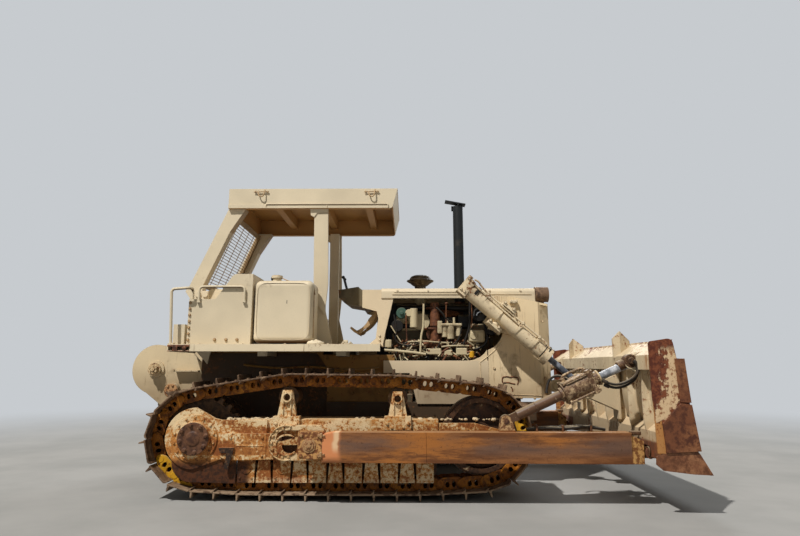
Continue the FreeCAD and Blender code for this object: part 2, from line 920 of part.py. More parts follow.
column = side_shape(
    (
        (-219, deck_z),
        (deck_front_x - 1, deck_z),
        (deck_front_x - 1, 1440),
        (-13, 1564),
        (74, 1936),
        (74, 1998),
        (-60 - running, 1998),
        (-60 - running, 2036),
        (hood_rear_x, 2036),
        (hood_rear_x, 1837),
        (-110, 1795),
        (-92, 1720),
        (-118, 1500),
    ),
    -hood_half_width + hood_sheet + running,
    -hood_half_width + hood_sheet + cowl_sheet,
)
firewall = box(-40, -20, -385, 385, deck_z, 1935)
scuttle = side_shape(
    ((hood_rear_x, 1840), (hood_rear_x, 2036), (-62, 2024), (-62, 1990), (-200, 1860)),
    -385,
    385,
)
node("cowl", joined(*both_sides(column), firewall, scuttle))
dash = side_shape(
    (
        (-554, 2050),
        (-545, 1965),
        (-446, 1891),
        (hood_rear_x - running, 1862),
        (hood_rear_x - running, 2040),
        (-330, 2087),
    ),
    -300,
    300,
)
node("instrument_panel", dash)

# Deck, with its outer edge turned down, and an open channel at each rear corner
deck_end_x = deck_rear_x + 230
channel = without(
    box(deck_rear_x, deck_end_x, -deck_half_width + 10, -1040, deck_z - deck_edge, deck_z - 1),
    box(
        deck_rear_x + 12,
        deck_end_x - 12,
        -deck_half_width + 9,
        -1056,
        deck_z - deck_edge + 12,
        deck_z - 13,
    ),
)
gusset = side_shape(
    (
        (deck_rear_x + 20, deck_z - 10),
        (deck_rear_x + 190, deck_z - 190),
        (deck_rear_x + 230, deck_z - 10),
    ),
    -560,
    -545,
)
deck = joined(
    box(
        deck_rear_x,
        deck_front_x,
        -deck_half_width + 10,
        deck_half_width - 10,
        deck_z - deck_sheet,
        deck_z,
    ),
    *both_sides(
        box(
            deck_end_x,
            deck_front_x,
            -deck_half_width,
            -deck_half_width + 14,
            deck_z - deck_edge,
            deck_z,
        ),
        channel,
        gusset,
        box(deck_rear_x, deck_rear_x + 14, -1050, -430, deck_z - deck_edge, deck_z),
        box(-1300, -1200, -900, -440, deck_z - deck_edge - 40, deck_z - deck_sheet),
        box(-500, -400, -900, -440, deck_z - deck_edge - 40, deck_z - deck_sheet),
    ),
)
node("deck", deck)

# Hydraulic tank, fuel tank and the boxes beside it
post_face = -post_y - post_width / 2
tank = rounded(box(-1300, -712, -1150, post_face - 14, deck_z + 12, 2050), 62)
tank_feet = [box(x, x + 70, -1090, post_face - 70, deck_z, deck_z + 60) for x in (-1220, -870)]
filler = joined(
    rod((-1130, -900, 2040), (-1130, -900, 2098), 46),
    rod((-1130, -900, 2098), (-1130, -900, 2126), 58),
)
node("hydraulic_tank", joined(tank, filler, *tank_feet))

side_profile = (
    (-1965, deck_z),
    (-1965, 1863),
    (-1700, 1863),
    (-1560, 2065),
    (-1500, 2118, -1538, 2098),
    (-1330, 2118),
    (-1330, deck_z),
)
step_box = box(deck_rear_x + 2, deck_rear_x + 115, -1100, -950, deck_z, deck_z + 199)
node("side_boxes", both_sides(side_shape(side_profile, -1105, -640), step_box))
fuel = side_shape(
    ((-1965, deck_z), (-1965, 1960), (-1900, 2020), (-1660, 2020), (-1600, 1900), (-1560, deck_z)),
    -640 + running,
    640 - running,
)
node("fuel_tank", joined(fuel, rod((-1800, 300, 2015), (-1800, 300, 2070), 60)))
node(
    "battery_box",
    joined(box(-1290, -840, 760, 1150, deck_z, 1790), box(-1300, -830, 750, 1160, 1790, 1815)),
)

# Canopy: a flat roof with deep side rails, on four posts
rail_profile = (
    (roof_rear_x, roof_bottom_z),
    (roof_front_x - 85, roof_bottom_z),
    (roof_front_x - 52, roof_bottom_z + 26, roof_front_x - 62, roof_bottom_z + 8),
    (roof_front_x, roof_top_z),
    (roof_rear_x, roof_top_z),
)
roof = joined(
    box(
        roof_rear_x,
        roof_front_x,
        -roof_half_width,
        roof_half_width,
        roof_top_z - roof_sheet,
        roof_top_z,
    ),
    *both_sides(side_shape(rail_profile, -roof_half_width, -roof_half_width + roof_sheet)),
    *both_sides(
        box(
            roof_rear_x,
            roof_front_x - 85,
            -roof_half_width,
            -roof_half_width + 60,
            roof_bottom_z,
            roof_bottom_z + roof_sheet,
        ),
        box(
            roof_rear_x,
            roof_front_x - 101,
            -roof_half_width - 11,
            -roof_half_width + 1,
            roof_bottom_z,
            roof_bottom_z + 44,
        ),
    ),
    box(
        roof_rear_x,
        roof_rear_x + roof_sheet,
        -roof_half_width,
        roof_half_width,
        roof_bottom_z,
        roof_top_z,
    ),
    side_shape(
        (
            (roof_front_x - 52, roof_bottom_z + 26),
            (roof_front_x, roof_top_z),
            (roof_front_x - 14, roof_top_z),
            (roof_front_x - 66, roof_bottom_z + 26),
        ),
        -roof_half_width,
        roof_half_width,
    ),
    *[
        box(x, x + 80, -roof_half_width, roof_half_width, roof_top_z - 130, roof_top_z)
        for x in (-1300, -770, -250)
    ],
)
node("canopy_roof", roof)

front_face = side_shape(
    (
        (front_post_x - 76, roof_bottom_z - running),
        (front_post_x - 60, 1912),
        (front_post_x + 62, 1732),
        (front_post_x + 94, 2063),
        (front_post_x + 76, roof_bottom_z - running),
    ),
    post_face,
    post_face + 26,
)
front_core = box(
    front_post_x - 58,
    front_post_x + 58,
    post_face + 25,
    post_face + post_width,
    deck_z,
    roof_bottom_z - running,
)
front_head = side_shape(
    (
        (front_post_x - 122, roof_bottom_z - running),
        (front_post_x - 112, roof_bottom_z - 74),
        (front_post_x - 74, roof_bottom_z - 96),
        (front_post_x - 44, roof_bottom_z - 50),
        (front_post_x + 76, roof_bottom_z - 44),
        (front_post_x + 76, roof_bottom_z - running),
    ),
    post_face - 8,
    post_face + 30,
)
front_foot = side_shape(
    (
        (front_post_x - 58, deck_z),
        (front_post_x + 146, deck_z),
        (front_post_x + 146, deck_z + 30),
        (front_post_x + 57, 1830),
        (front_post_x - 58, 1880),
    ),
    post_face + 24,
    post_face + 44,
)
front_post = joined(front_face, front_core, front_head, front_foot)
rear_foot_x, rear_top_x = -2035.0, -1671.0
rear_post = side_shape(
    (
        (rear_foot_x - 95, 1990),
        (rear_top_x - 58, roof_bottom_z - running),
        (rear_top_x + 130, roof_bottom_z - running),
        (rear_top_x - 30, roof_bottom_z - 253),
        (rear_foot_x + 70, 2040),
        (rear_foot_x + 70 - running, 1990),
    ),
    -post_y - post_width / 2,
    -post_y + post_width / 2,
)
leg = side_shape(
    (
        (-2085, deck_z),
        (-2085, 1900),
        (rear_foot_x - 110, 1985),
        (rear_foot_x - 95, 2020),
        (rear_foot_x + 69, 2020),
        (rear_foot_x + 69, deck_z),
    ),
    post_face,
    post_face + post_width,
)
lugs = [rod((x, post_face - 26, 1952), (x, post_face + 10, 1952), 30) for x in (-2000, -1925)]
lug_arm = side_shape(
    ((-2040, 1900), (-2040, 1990), (-1895, 1990), (-1895, 1900)),
    post_face - 12,
    post_face + 10,
)
node("canopy_posts", both_sides(front_post, joined(rear_post, leg, lug_arm, *lugs)))

# Rear screen: a frame with a grid of bars, in the plane of the rear posts
screen_half = post_y - post_width / 2 - running
screen_foot_z = 2055.0
screen_lean = math.degrees(math.atan2(364, 902))
screen_height = (roof_bottom_z - screen_foot_z) / math.cos(math.radians(screen_lean)) - 4


def screen():
    frame = without(
        box(0, 40, -screen_half, screen_half, 0, screen_height),
        box(-1, 41, -screen_half + 60, screen_half - 60, 60, screen_height - 60),
    )
    rungs = [
        box(14, 22, -screen_half + 60, screen_half - 60, z - 4, z + 4)
        for z in range(90, int(screen_height) - 60, 50)
    ]
    uprights = [box(22, 30, y - 5, y + 5, 60, screen_height - 60) for y in (-400, -200, 0, 200, 400)]
    whole = joined(frame, *rungs, *uprights)
    whole.rotate(V(0, 0, 0), V(0, 1, 0), screen_lean)
    whole.translate(V(rear_foot_x - 10, 0, screen_foot_z))
    return whole


node("rear_screen", screen())

# Seat and controls
def reclined(shape):
    shape.rotate(V(0, 0, 0), V(0, 1, 0), -10)
    shape.translate(V(-1418, 0, 1750))
    return shape


back_support = reclined(box(-26, -running, -150, 150, -20, 340))
node(
    "seat_base",
    joined(
        box(-1420, -1000, -190, 190, deck_z, 1600),
        box(-1445, -1412, -150, 150, 1500, 1738),
        back_support,
    ),
)
node("seat_cushion", rounded(box(-1410, -950, -250, 250, 1600 + running, 1720), 30))
node("seat_back", reclined(rounded(box(0, 110, -250, 250, 0, 450), 30)))


def lever(x, y, z0, x1, z1, grip):
    stem = rod((x, y, z0 + 8), (x1, y, z1), 9)
    foot = rod((x, y, z0 + running), (x, y, z0 + 16), 17)
    return joined(stem, foot, Part.makeSphere(grip, V(x1, y, z1)))


levers = [lever(-480, y, 2065, -522, 2225, 19) for y in (-90, 90)]
levers += [lever(-900, -440, 1413, -860, 1990, 20), lever(-1000, 420, 1413, -960, 1900, 20)]
node("control_levers", *levers)
pedal_arm = (
    (-146, 1862),
    (-100, 1862),
    (-104, 1800),
    (-268, 1604, -164, 1690),
    (-330, 1566, -296, 1572),
    (-362, 1590),
    (-210, 1728, -262, 1650),
    (-140, 1806),
)
pedal_foot = ((-418, 1622), (-404, 1640), (-352, 1604), (-318, 1574), (-330, 1556), (-372, 1578))
pedals = []
for y in (-230, 230):
    pedals.append(
        joined(
            side_shape(pedal_arm, y - 14, y + 14),
            side_shape(pedal_foot, y - 50, y + 50),
        )
    )
pedal_shaft = rod((-120, -385 + running, 1850), (-120, 385 - running, 1850), 16)
node("foot_pedals", joined(pedal_shaft, *pedals))

# Handrails
rear_rail = bent_bar(
    (
        (-2088, -1190, deck_z + 4),
        (-2118, -1190, 1955),
        (-1940, -1190, 1968),
        (-1940, -1080, 1968),
        (-1940, -1080, 1863 + running),
    ),
    14,
    36,
)
top_rail = bent_bar(
    ((-1862, -1121, 1840), (-1862, -1121, 1988), (-1404, -1121, 1988), (-1404, -1121, 1840)), 12, 40
)
rail_feet = [box(x - 16, x + 16, -1133, -1105 - running, 1826, 1846) for x in (-1862, -1404)]
rail_base = box(-2103, -2053, -1215, -1165, deck_z + running, deck_z + 12)
node("handrails", both_sides(joined(rear_rail, rail_base), joined(top_rail, *rail_feet)))

# Winch
winch_side = side_shape(
    (
        (winch_x, winch_z + winch_radius),
        (-2461, winch_z + 258),
        (-2132, 1351),
        (-2047, 1255),
        (case_rear_x - running, 1255),
        (case_rear_x - running, 640),
        (winch_x + 260, 640),
        (winch_x + 60, 800),
        (winch_x - 100, winch_z - winch_radius + 20),
        (winch_x, winch_z + winch_radius, winch_x - winch_radius, winch_z),
    ),
    -winch_half_width,
    -winch_half_width + winch_plate,
)
winch_boss = joined(
    rod((winch_x, -winch_half_width - 60, winch_z), (winch_x, -winch_half_width, winch_z), 58),
    rod((winch_x, -winch_half_width - 18, winch_z), (winch_x, -winch_half_width, winch_z), 88),
)
shaft_bore = rod(
    (winch_x, -winch_half_width + winch_plate + 1, winch_z),
    (winch_x, -winch_half_width + 8, winch_z),
    46 + running,
)
winch_rib = box(-2303, case_rear_x - 30, -winch_half_width - 72, -winch_half_width + 1, 1144, 1158)
brake_boss = rod((-2318, -winch_half_width - 70, 948), (-2318, -winch_half_width + 1, 948), 76)
housing_half = winch_half_width - winch_plate
tie = rod((winch_x + 60, -housing_half - 5, 800), (winch_x + 60, housing_half + 5, 800), 34)
winch_cheek = without(joined(winch_side, winch_boss, winch_rib, brake_boss), shaft_bore)
node("winch_case", joined(*both_sides(winch_cheek), tie))
housing = box(case_rear_x - 170, case_rear_x - running, -housing_half, housing_half, 640, 1255)
node("winch_housing", housing)
drum_half = winch_half_width - winch_plate - 6
node(
    "winch_drum",
    joined(
        rod((winch_x, -drum_half + 30, winch_z), (winch_x, drum_half - 30, winch_z), 120),
        *[
            rod((winch_x, s * drum_half, winch_z), (winch_x, s * (drum_half - 30), winch_z), 225)
            for s in (-1, 1)
        ],
        rod((winch_x, -winch_half_width + 9, winch_z), (winch_x, winch_half_width - 9, winch_z), 46),
    ),
)
drawbar = without(
    joined(
        box(case_rear_x - 300, case_rear_x - running, -70, 70, 572, 632),
        box(case_rear_x - 40, case_rear_x - running, -180, 180, 566, 638),
    ),
    rod((case_rear_x - 235, 0, 560), (case_rear_x - 235, 0, 650), 26),
)
node("drawbar", drawbar)


# Lift cylinders: a barrel that swings in a yoke on the guard, and its rod
def along_lift(distance, aside=0.0):
    a = math.radians(lift_angle)
    return (
        trunnion_x + distance * math.cos(a) - aside * math.sin(a),
        trunnion_z + distance * math.sin(a) + aside * math.cos(a),
    )


def lift_rod_piece(start, end, radius, y=-lift_y):
    x0, z0 = along_lift(start)
    x1, z1 = along_lift(end)
    return rod((x0, y, z0), (x1, y, z1), radius)


def lift_block(start, end, low, high, y0, y1):
    corners = [
        along_lift(start, low),
        along_lift(end, low),
        along_lift(end, high),
        along_lift(start, high),
    ]
    return side_shape(corners, y0, y1)


back_y = -lift_y + 92
gimbal = [
    lift_block(-gimbal_half - 26, gimbal_half + 26, -gimbal_outer, gimbal_outer, back_y, back_y + 34),
    lift_block(-gimbal_half, gimbal_half, gimbal_inner, gimbal_outer, -lift_y - 58, back_y + 1),
    lift_block(-gimbal_half, gimbal_half, -gimbal_outer, -gimbal_inner, -lift_y - 58, back_y + 1),
    lift_block(
        -gimbal_half + 6,
        gimbal_half - 6,
        gimbal_inner + 6,
        gimbal_outer - 6,
        -lift_y - 92,
        -lift_y - 57,
    ),
    lift_block(
        -gimbal_half + 6,
        gimbal_half - 6,
        -gimbal_outer + 6,
        -gimbal_inner - 6,
        -lift_y - 92,
        -lift_y - 57,
    ),
]
side_stub = rod((*along_lift(0, -gimbal_inner - 4)[:1], -lift_y, along_lift(0, -gimbal_inner - 4)[1]),
                (along_lift(0, gimbal_inner + 4)[0], -lift_y, along_lift(0, gimbal_inner + 4)[1]), 42)
barrel = joined(
    lift_rod_piece(-barrel_head, barrel_gland, barrel_radius),
    lift_block(-barrel_head - 40, -barrel_head + 70, -95, 95, -lift_y - 88, -lift_y + 88),
    lift_rod_piece(-barrel_head + 70, -20, barrel_radius + 11),
    lift_rod_piece(barrel_gland - 70, barrel_gland, barrel_radius + 18),
    side_stub,
    *gimbal,
    rod((trunnion_x, back_y + 33, trunnion_z), (trunnion_x, -lift_y + 168, trunnion_z), 38),
)
bore = lift_rod_piece(-barrel_head + 20, barrel_gland + 1, rod_radius + running)
right_barrel = without(barrel, bore)
node("lift_barrel_right", right_barrel)
node("lift_barrel_left", other_side(right_barrel))

eye_bore = rod((eye_x, -lift_y - 60, eye_z), (eye_x, -lift_y + 60, eye_z), 30)
right_rod = joined(
    lift_rod_piece(-barrel_head + 440, lift_eye_distance - 50, rod_radius),
    rod((eye_x, -lift_y - 40, eye_z), (eye_x, -lift_y + 40, eye_z), 62),
)
right_rod = without(right_rod, eye_bore)
node("lift_rod_right", right_rod)
node("lift_rod_left", other_side(right_rod))


# Yokes on the guard that hold the barrels' trunnions
def yoke():
    plate = side_shape(
        (
            (trunnion_x - 120, trunnion_z - 110),
            (trunnion_x + 190, trunnion_z - 200),
            (trunnion_x + 190, trunnion_z + 120),
            (trunnion_x - 40, trunnion_z + 140),
        ),
        -body_half_width - running,
        -body_half_width - 28,
    )
    arm = rod(
        (trunnion_x, -body_half_width - 27, trunnion_z),
        (trunnion_x, -lift_y + 126 + running, trunnion_z),
        75,
    )
    hole = rod(
        (trunnion_x, -body_half_width - 30, trunnion_z),
        (trunnion_x, -lift_y, trunnion_z),
        38 + running,
    )
    return without(joined(plate, arm), hole)


node("lift_yokes", both_sides(yoke()))


# Push arms
def push_arm():
    y0, y1 = -arm_inner_y - arm_width, -arm_inner_y
    beam = side_shape(
        (
            (arm_pivot_x + 130, arm_bottom_z + 10),
            (arm_front_x, arm_bottom_z),
            (arm_front_x, arm_top_z),
            (arm_pivot_x + 230, arm_top_z),
            (arm_pivot_x + 130, arm_top_z - 20),
        ),
        y0,
        y1,
    )
    cap = box(arm_pivot_x - 92, arm_pivot_x + 131, y0 + 12, y1 - 12, arm_pivot_z - 118, arm_pivot_z + 118)
    socket = Part.makeSphere(88 + running * 2, V(arm_pivot_x, -arm_inner_y - arm_width / 2, arm_pivot_z))
    neck = rod((arm_pivot_x, y1 - 100, arm_pivot_z), (arm_pivot_x, y1 + 10, arm_pivot_z), 80)
    block_x = arm_front_x + arm_block
    block = side_shape(
        (
            (arm_front_x - 2, arm_bottom_z + 2),
            (block_x - 4, arm_bottom_z + 2),
            (block_x, 544),
            (arm_front_x + 8, 586),
        ),
        y0 - 4,
        y1 + 4,
    )
    eye = arm_pin_radius + 22
    nose = side_shape(
        (
            (block_x - 20, arm_pin_z - eye),
            (arm_pin_x, arm_pin_z - eye),
            (arm_pin_x, arm_pin_z + eye, arm_pin_x + eye, arm_pin_z),
            (block_x - 20, arm_pin_z + eye),
        ),
        y0 + 50,
        y1 - 50,
    )
    pin_hole = rod((arm_pin_x, y0, arm_pin_z), (arm_pin_x, y1, arm_pin_z), arm_pin_radius + running)
    ears = [
        side_shape(
            (
                (1062, arm_top_z - 1),
                (1084, 726),
                (1176, 726, 1130, 760),
                (1212, arm_top_z - 1),
            ),
            y,
            y + 24,
        )
        for y in (-arm_inner_y - 132, -arm_inner_y - 64)
    ]
    ear_hole = rod((1130, y0, 710), (1130, y1, 710), 26 + running)
    return without(joined(beam, cap, block, nose, *ears), socket, neck, pin_hole, ear_hole)


node("push_arms", both_sides(push_arm()))

# Blade
half = blade_width / 2
inner_half = half - end_plate
brace_y = -arm_inner_y - 86.0
moldboard = side_shape(
    (
        (2545, blade_top_z),
        (2612, 505, 2452, 930),
        (2594, 505),
        (2525, blade_top_z, 2431, 930),
    ),
    -inner_half,
    inner_half,
)
top_slope = side_shape(
    ((2545, blade_top_z), (blade_back_x + 5, 1300), (blade_back_x + 5, 1190), (blade_back_x + 23, 1190),
     (blade_back_x + 23, 1290), (2527, blade_top_z - 30)),
    -inner_half,
    inner_half,
)
shelf = side_shape(
    ((blade_back_x + 5, 1190), (2445, 1190), (2445, 1172), (blade_back_x + 5, 1172)),
    -inner_half,
    inner_half,
)
low_box = side_shape(
    (
        (2390, 415),
        (2600, 440),
        (2610, 505),
        (2560, 520),
        (2470, 700),
        (2390, 640),
    ),
    -inner_half,
    inner_half,
)
ribs = []
for y in (-1450, -1080, -700, -350, 0, 350, 700, 1080, 1450):
    ribs.append(
        side_shape(
            (
                (2391, 600),
                (blade_back_x + 40, 700),
                (blade_back_x + 40, 1180),
                (2450, 1180),
                (2448, 930),
                (2480, 660),
            ),
            y - 12,
            y + 12,
        )
    )
end_profile = (
    (2406, 486),
    (2388, 750),
    (2338, 728),
    (blade_back_x - 4, 963),
    (blade_back_x - 4, 1398),
    (2350, 1418, 2334, 1412),
    (2489, blade_top_z + 7),
    (2540, 1402, 2524, 1428),
    (2560, 1270),
    (2614, 1266),
    (2640, 888),
    (2690, 500),
)
ends = both_sides(side_shape(end_profile, -half + wear_plate, -inner_half))
horn_plan = ((2320, -872), (2386, -914), (2500, -858), (2500, -842), (2386, -898), (2320, -856))
horn = plan_shape(horn_plan, 1285, 1560).common(
    side_shape(
        (
            (2320, 1285),
            (2320, 1478),
            (2386, 1553),
            (2500, 1455),
            (2500, 1390),
            (2345, 1300),
            (2340, 1285),
        ),
        -930,
        -830,
    )
)
arm_slot = box(2380, 2462, -arm_inner_y - arm_width + 40, -arm_inner_y - 40, 380, 505)
low_box = without(low_box, *both_sides(arm_slot))
arm_lugs = []
for y in (-arm_inner_y - arm_width - 8, -arm_inner_y - 42):
    lug_path = (
        (2470, 424),
        (2470, 500),
        (arm_pin_x, arm_pin_z + arm_pin_radius + 22),
        (arm_pin_x, arm_pin_z - arm_pin_radius - 22, arm_pin_x - arm_pin_radius - 22, arm_pin_z),
    )
    lug_hole = rod(
        (arm_pin_x, y - 1, arm_pin_z),
        (arm_pin_x, y + 51, arm_pin_z),
        arm_pin_radius + running,
    )
    arm_lugs.append(without(side_shape(lug_path, y, y + 50), lug_hole))
brace_lugs = [
    without(
        side_shape(((2372, 1130), (2372, 1330), (2300, 1292), (2300, 1176, 2242, 1234)), y, y + 26),
        rod((2300, y - 1, 1234), (2300, y + 27, 1234), 26 + running),
    )
    for y in (-arm_inner_y - 132, -arm_inner_y - 64)
]
lift_lugs = [
    without(
        side_shape(
            (
                (blade_back_x + 41, 760),
                (blade_back_x + 41, 1120),
                (eye_x + 60, eye_z + 70),
                (eye_x, eye_z + 78),
                (eye_x + 10, eye_z - 75, eye_x - 76, eye_z),
            ),
            -lift_y + s * 62 - 14,
            -lift_y + s * 62 + 14,
        ),
    )
    for s in (-1, 1)
]
lug_caps = [
    rod((eye_x, -lift_y + s * 76, eye_z), (eye_x, -lift_y + s * 92, eye_z), 44) for s in (-1, 1)
]
lift_pads = [box(blade_back_x + 36, blade_back_x + 62, -lift_y - 84, -lift_y + 84, 680, 1182)]
brace_pad = box(blade_back_x + 40, blade_back_x + 62, brace_y - 70, brace_y + 66, 1100, 1330)
brace_slot = box(2300, blade_back_x + 41, brace_y - 70, brace_y + 66, 1120, 1345)
top_slope = without(top_slope, *both_sides(brace_slot))
shelf = without(shelf, *both_sides(brace_slot))
pin_bore = rod(
    (arm_pin_x, -arm_inner_y - arm_width - 16, arm_pin_z),
    (arm_pin_x, -arm_inner_y + 16, arm_pin_z),
    arm_pin_radius + running,
)
low_box = without(low_box, *both_sides(pin_bore))
node(
    "blade",
    joined(
        moldboard, top_slope, shelf, low_box, *ribs, *ends, *both_sides(*lift_pads, brace_pad),
        *both_sides(horn, *arm_lugs, *brace_lugs, *lift_lugs, *lug_caps),
    ),
)
wear_shapes = (
    ((2539, 1268), (2622, 1268), (2648, 897), (2556, 904)),
    ((2557, 893), (2651, 880), (2696, 502), (2408, 488), (2389, 726)),
)
node("wear_plates", both_sides(*[side_shape(path, -half, -half + wear_plate) for path in wear_shapes]))
node(
    "cutting_edge",
    side_shape(
        ((2614, 500), (2634, 500), (blade_front_x, blade_edge_z), (2764, blade_edge_z)),
        -inner_half + running,
        inner_half - running,
    ),
)
bit_profile = (
    (2317, 393),
    (2323, 458),
    (2406, 486 - running),
    (2672, 499 - running),
    (2690, 476),
    (blade_front_x, blade_edge_z + 3),
    (2623, 316),
    (2374, 345),
)
node("end_bits", both_sides(side_shape(bit_profile, -half + wear_plate, -inner_half)))

# Tilt cylinder on the right, plain brace on the left
brace_a, brace_b = (1130.0, 710.0), (2300.0, 1234.0)
brace_length = math.hypot(brace_b[0] - brace_a[0], brace_b[1] - brace_a[1])


def on_brace(distance, aside=0.0):
    ux = (brace_b[0] - brace_a[0]) / brace_length
    uz = (brace_b[1] - brace_a[1]) / brace_length
    return brace_a[0] + ux * distance - uz * aside, brace_a[1] + uz * distance + ux * aside


def brace_rod(start, end, radius):
    x0, z0 = on_brace(start)
    x1, z1 = on_brace(end)
    return rod((x0, brace_y, z0), (x1, brace_y, z1), radius)


def brace_eye(centre, radius, hole=26.0):
    x, z = centre
    return rod((x, brace_y - 20, z), (x, brace_y + 20, z), radius).cut(
        rod((x, brace_y - 21, z), (x, brace_y + 21, z), hole + running)
    )


rear_neck = side_shape(
    [on_brace(s, a) for s, a in ((40, -38), (130, -38), (130, 38), (40, 38))],
    brace_y - 20,
    brace_y + 20,
)
front_neck = side_shape(
    [on_brace(brace_length - s, a) for s, a in ((90, -36), (40, -36), (40, 36), (90, 36))],
    brace_y - 20,
    brace_y + 20,
)
gland_end = 960.0
tilt_body = joined(
    rear_neck,
    brace_rod(118, 640, 46),
    brace_rod(590, 850, 98),
    brace_rod(600, 640, 108),
    side_shape(
        [on_brace(s, a) for s, a in ((845, -112), (885, -112), (885, 112), (845, 112))],
        brace_y - 104,
        brace_y + 90,
    ),
    brace_rod(880, gland_end, 66),
    brace_eye(brace_a, 58),
)
node("tilt_cylinder", tilt_body)
node(
    "tilt_rod",
    joined(brace_rod(gland_end + running, brace_length - 78, 37), front_neck, brace_eye(brace_b, 56)),
)
hose_ports = ((905, 150, 1282), (938, 70, 1226))
tilt_hoses = []
for port, rise, end_z in hose_ports:
    x, z = on_brace(port)
    path = (
        (x, brace_y - 66, z),
        (x, brace_y - 124, z),
        (x + 110, brace_y - 124, z + rise),
        (2290, brace_y - 124, end_z),
        (blade_back_x + 5, brace_y - 124, end_z),
    )
    tilt_hoses.append(bent_bar(path, 12, 26))
node("tilt_hoses", tilt_hoses)
strut = joined(
    brace_rod(118, brace_length - 78, 40),
    brace_rod(420, 700, 58),
    rear_neck,
    front_neck,
    brace_eye(brace_a, 58),
    brace_eye(brace_b, 56),
)
strut = without(
    strut,
    *[rod((x, brace_y - 40, z), (x, brace_y + 40, z), 26 + running) for x, z in (brace_a, brace_b)],
)
node("brace_left", other_side(strut))
pins = [
    rod((x, brace_y - 52, z), (x, brace_y + 44, z), 26) for x, z in (brace_a, brace_b)
]
pins.append(
    rod(
        (arm_pin_x, -arm_inner_y - arm_width - 14, arm_pin_z),
        (arm_pin_x, -arm_inner_y + 14, arm_pin_z),
        arm_pin_radius,
    )
)
node("linkage_pins", both_sides(*pins))

# Headlamps on the guard's shoulders
lamp_bracket = side_shape(
    (
        (1655, nose_z(1655) + running),
        (1745, nose_z(1745) + running),
        (1735, guard_nose_z + 70),
        (1665, guard_nose_z + 80),
    ),
    -420,
    -380,
)
lamp = rod((hood_front_x + 5, -400, 1984), (guard_front_x + 5, -400, 1984), 84)
node("headlamps", both_sides(joined(lamp_bracket, lamp)))

os.makedirs("parts", exist_ok=True)
for name, shape in made.items():
    shape.translate(V(0, 0, body_lift))
    shape.exportStep(os.path.join("parts", name + ".step"))
    print(name, len(shape.Solids), "solids", round(shape.Volume / 1e6), "litres", shape.isValid())
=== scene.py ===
import math
import random
from statistics import NormalDist
import bpy
import bmesh
from mathutils import Matrix, Vector


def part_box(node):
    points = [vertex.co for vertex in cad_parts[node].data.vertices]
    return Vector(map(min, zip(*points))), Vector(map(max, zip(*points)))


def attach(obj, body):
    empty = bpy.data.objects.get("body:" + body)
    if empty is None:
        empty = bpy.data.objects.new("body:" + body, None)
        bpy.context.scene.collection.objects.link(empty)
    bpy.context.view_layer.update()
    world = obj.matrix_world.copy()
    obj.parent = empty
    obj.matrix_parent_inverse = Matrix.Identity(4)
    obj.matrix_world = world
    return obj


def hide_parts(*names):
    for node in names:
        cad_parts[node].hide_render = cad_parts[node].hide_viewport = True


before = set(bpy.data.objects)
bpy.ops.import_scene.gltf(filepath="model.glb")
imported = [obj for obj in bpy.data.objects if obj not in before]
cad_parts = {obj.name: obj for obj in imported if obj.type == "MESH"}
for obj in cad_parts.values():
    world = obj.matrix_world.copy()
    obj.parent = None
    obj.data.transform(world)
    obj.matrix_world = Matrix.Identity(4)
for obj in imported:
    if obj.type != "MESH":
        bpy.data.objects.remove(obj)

random.seed(7)
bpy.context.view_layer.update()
scene = bpy.context.scene
print("frame loaded:", len(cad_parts), "nodes")


# Camera, as the photograph was taken
view = {"lens": 28.0, "sensor": 36.0, "shift": -0.03875, "reach": 200, "place": (0.2256, -7.335, 1.224),
        "turn": (101.72, 0, 0.65)}
camera = bpy.data.cameras.new("camera")
camera.lens, camera.sensor_width = view["lens"], view["sensor"]
camera.shift_y = view["shift"]
camera.clip_end = view["reach"]
cameraObject = bpy.data.objects.new("camera", camera)
cameraObject.location = view["place"]
cameraObject.rotation_euler = [math.radians(angle) for angle in view["turn"]]
scene.collection.objects.link(cameraObject)
scene.camera = cameraObject
scene.view_settings.view_transform = "Standard"


def toLinear(red, green, blue):              # a colour as a picture shows it, 0 to 255
    parts = []
    for part in (red, green, blue):
        share = part / 255
        parts.append(share / 12.92 if share <= 0.04045 else ((share + 0.055) / 1.055) ** 2.4)
    return tuple(parts) + (1.0,)


# Shader maths as plain expressions
class Wire:
    def __init__(self, tree, socket):
        self.tree = tree
        self.socket = socket

    def maths(self, operation, *others):
        node = self.tree.nodes.new("ShaderNodeMath")
        node.operation = operation
        for slot, item in zip(node.inputs, (self,) + others):
            plug(self.tree, slot, item)
        return Wire(self.tree, node.outputs[0])

    def __add__(self, other):
        return self.maths("ADD", other)

    def __sub__(self, other):
        return self.maths("SUBTRACT", other)

    def __mul__(self, other):
        return self.maths("MULTIPLY", other)

    def __rsub__(self, other):
        return (self * -1.0) + other

    def above(self, low, high):              # 0 below low, 1 over high, smooth between
        node = self.tree.nodes.new("ShaderNodeMapRange")
        node.interpolation_type = "SMOOTHSTEP"
        plug(self.tree, node.inputs["Value"], self)
        node.inputs["From Min"].default_value = low
        node.inputs["From Max"].default_value = high
        return Wire(self.tree, node.outputs[0])

    def below(self, low, high):
        return 1.0 - self.above(low, high)


def plug(tree, slot, item):
    if isinstance(item, Wire):
        tree.links.new(item.socket, slot)
    else:
        slot.default_value = item


reliefDeep = 0.004                           # metres
plainGloss = 0.25


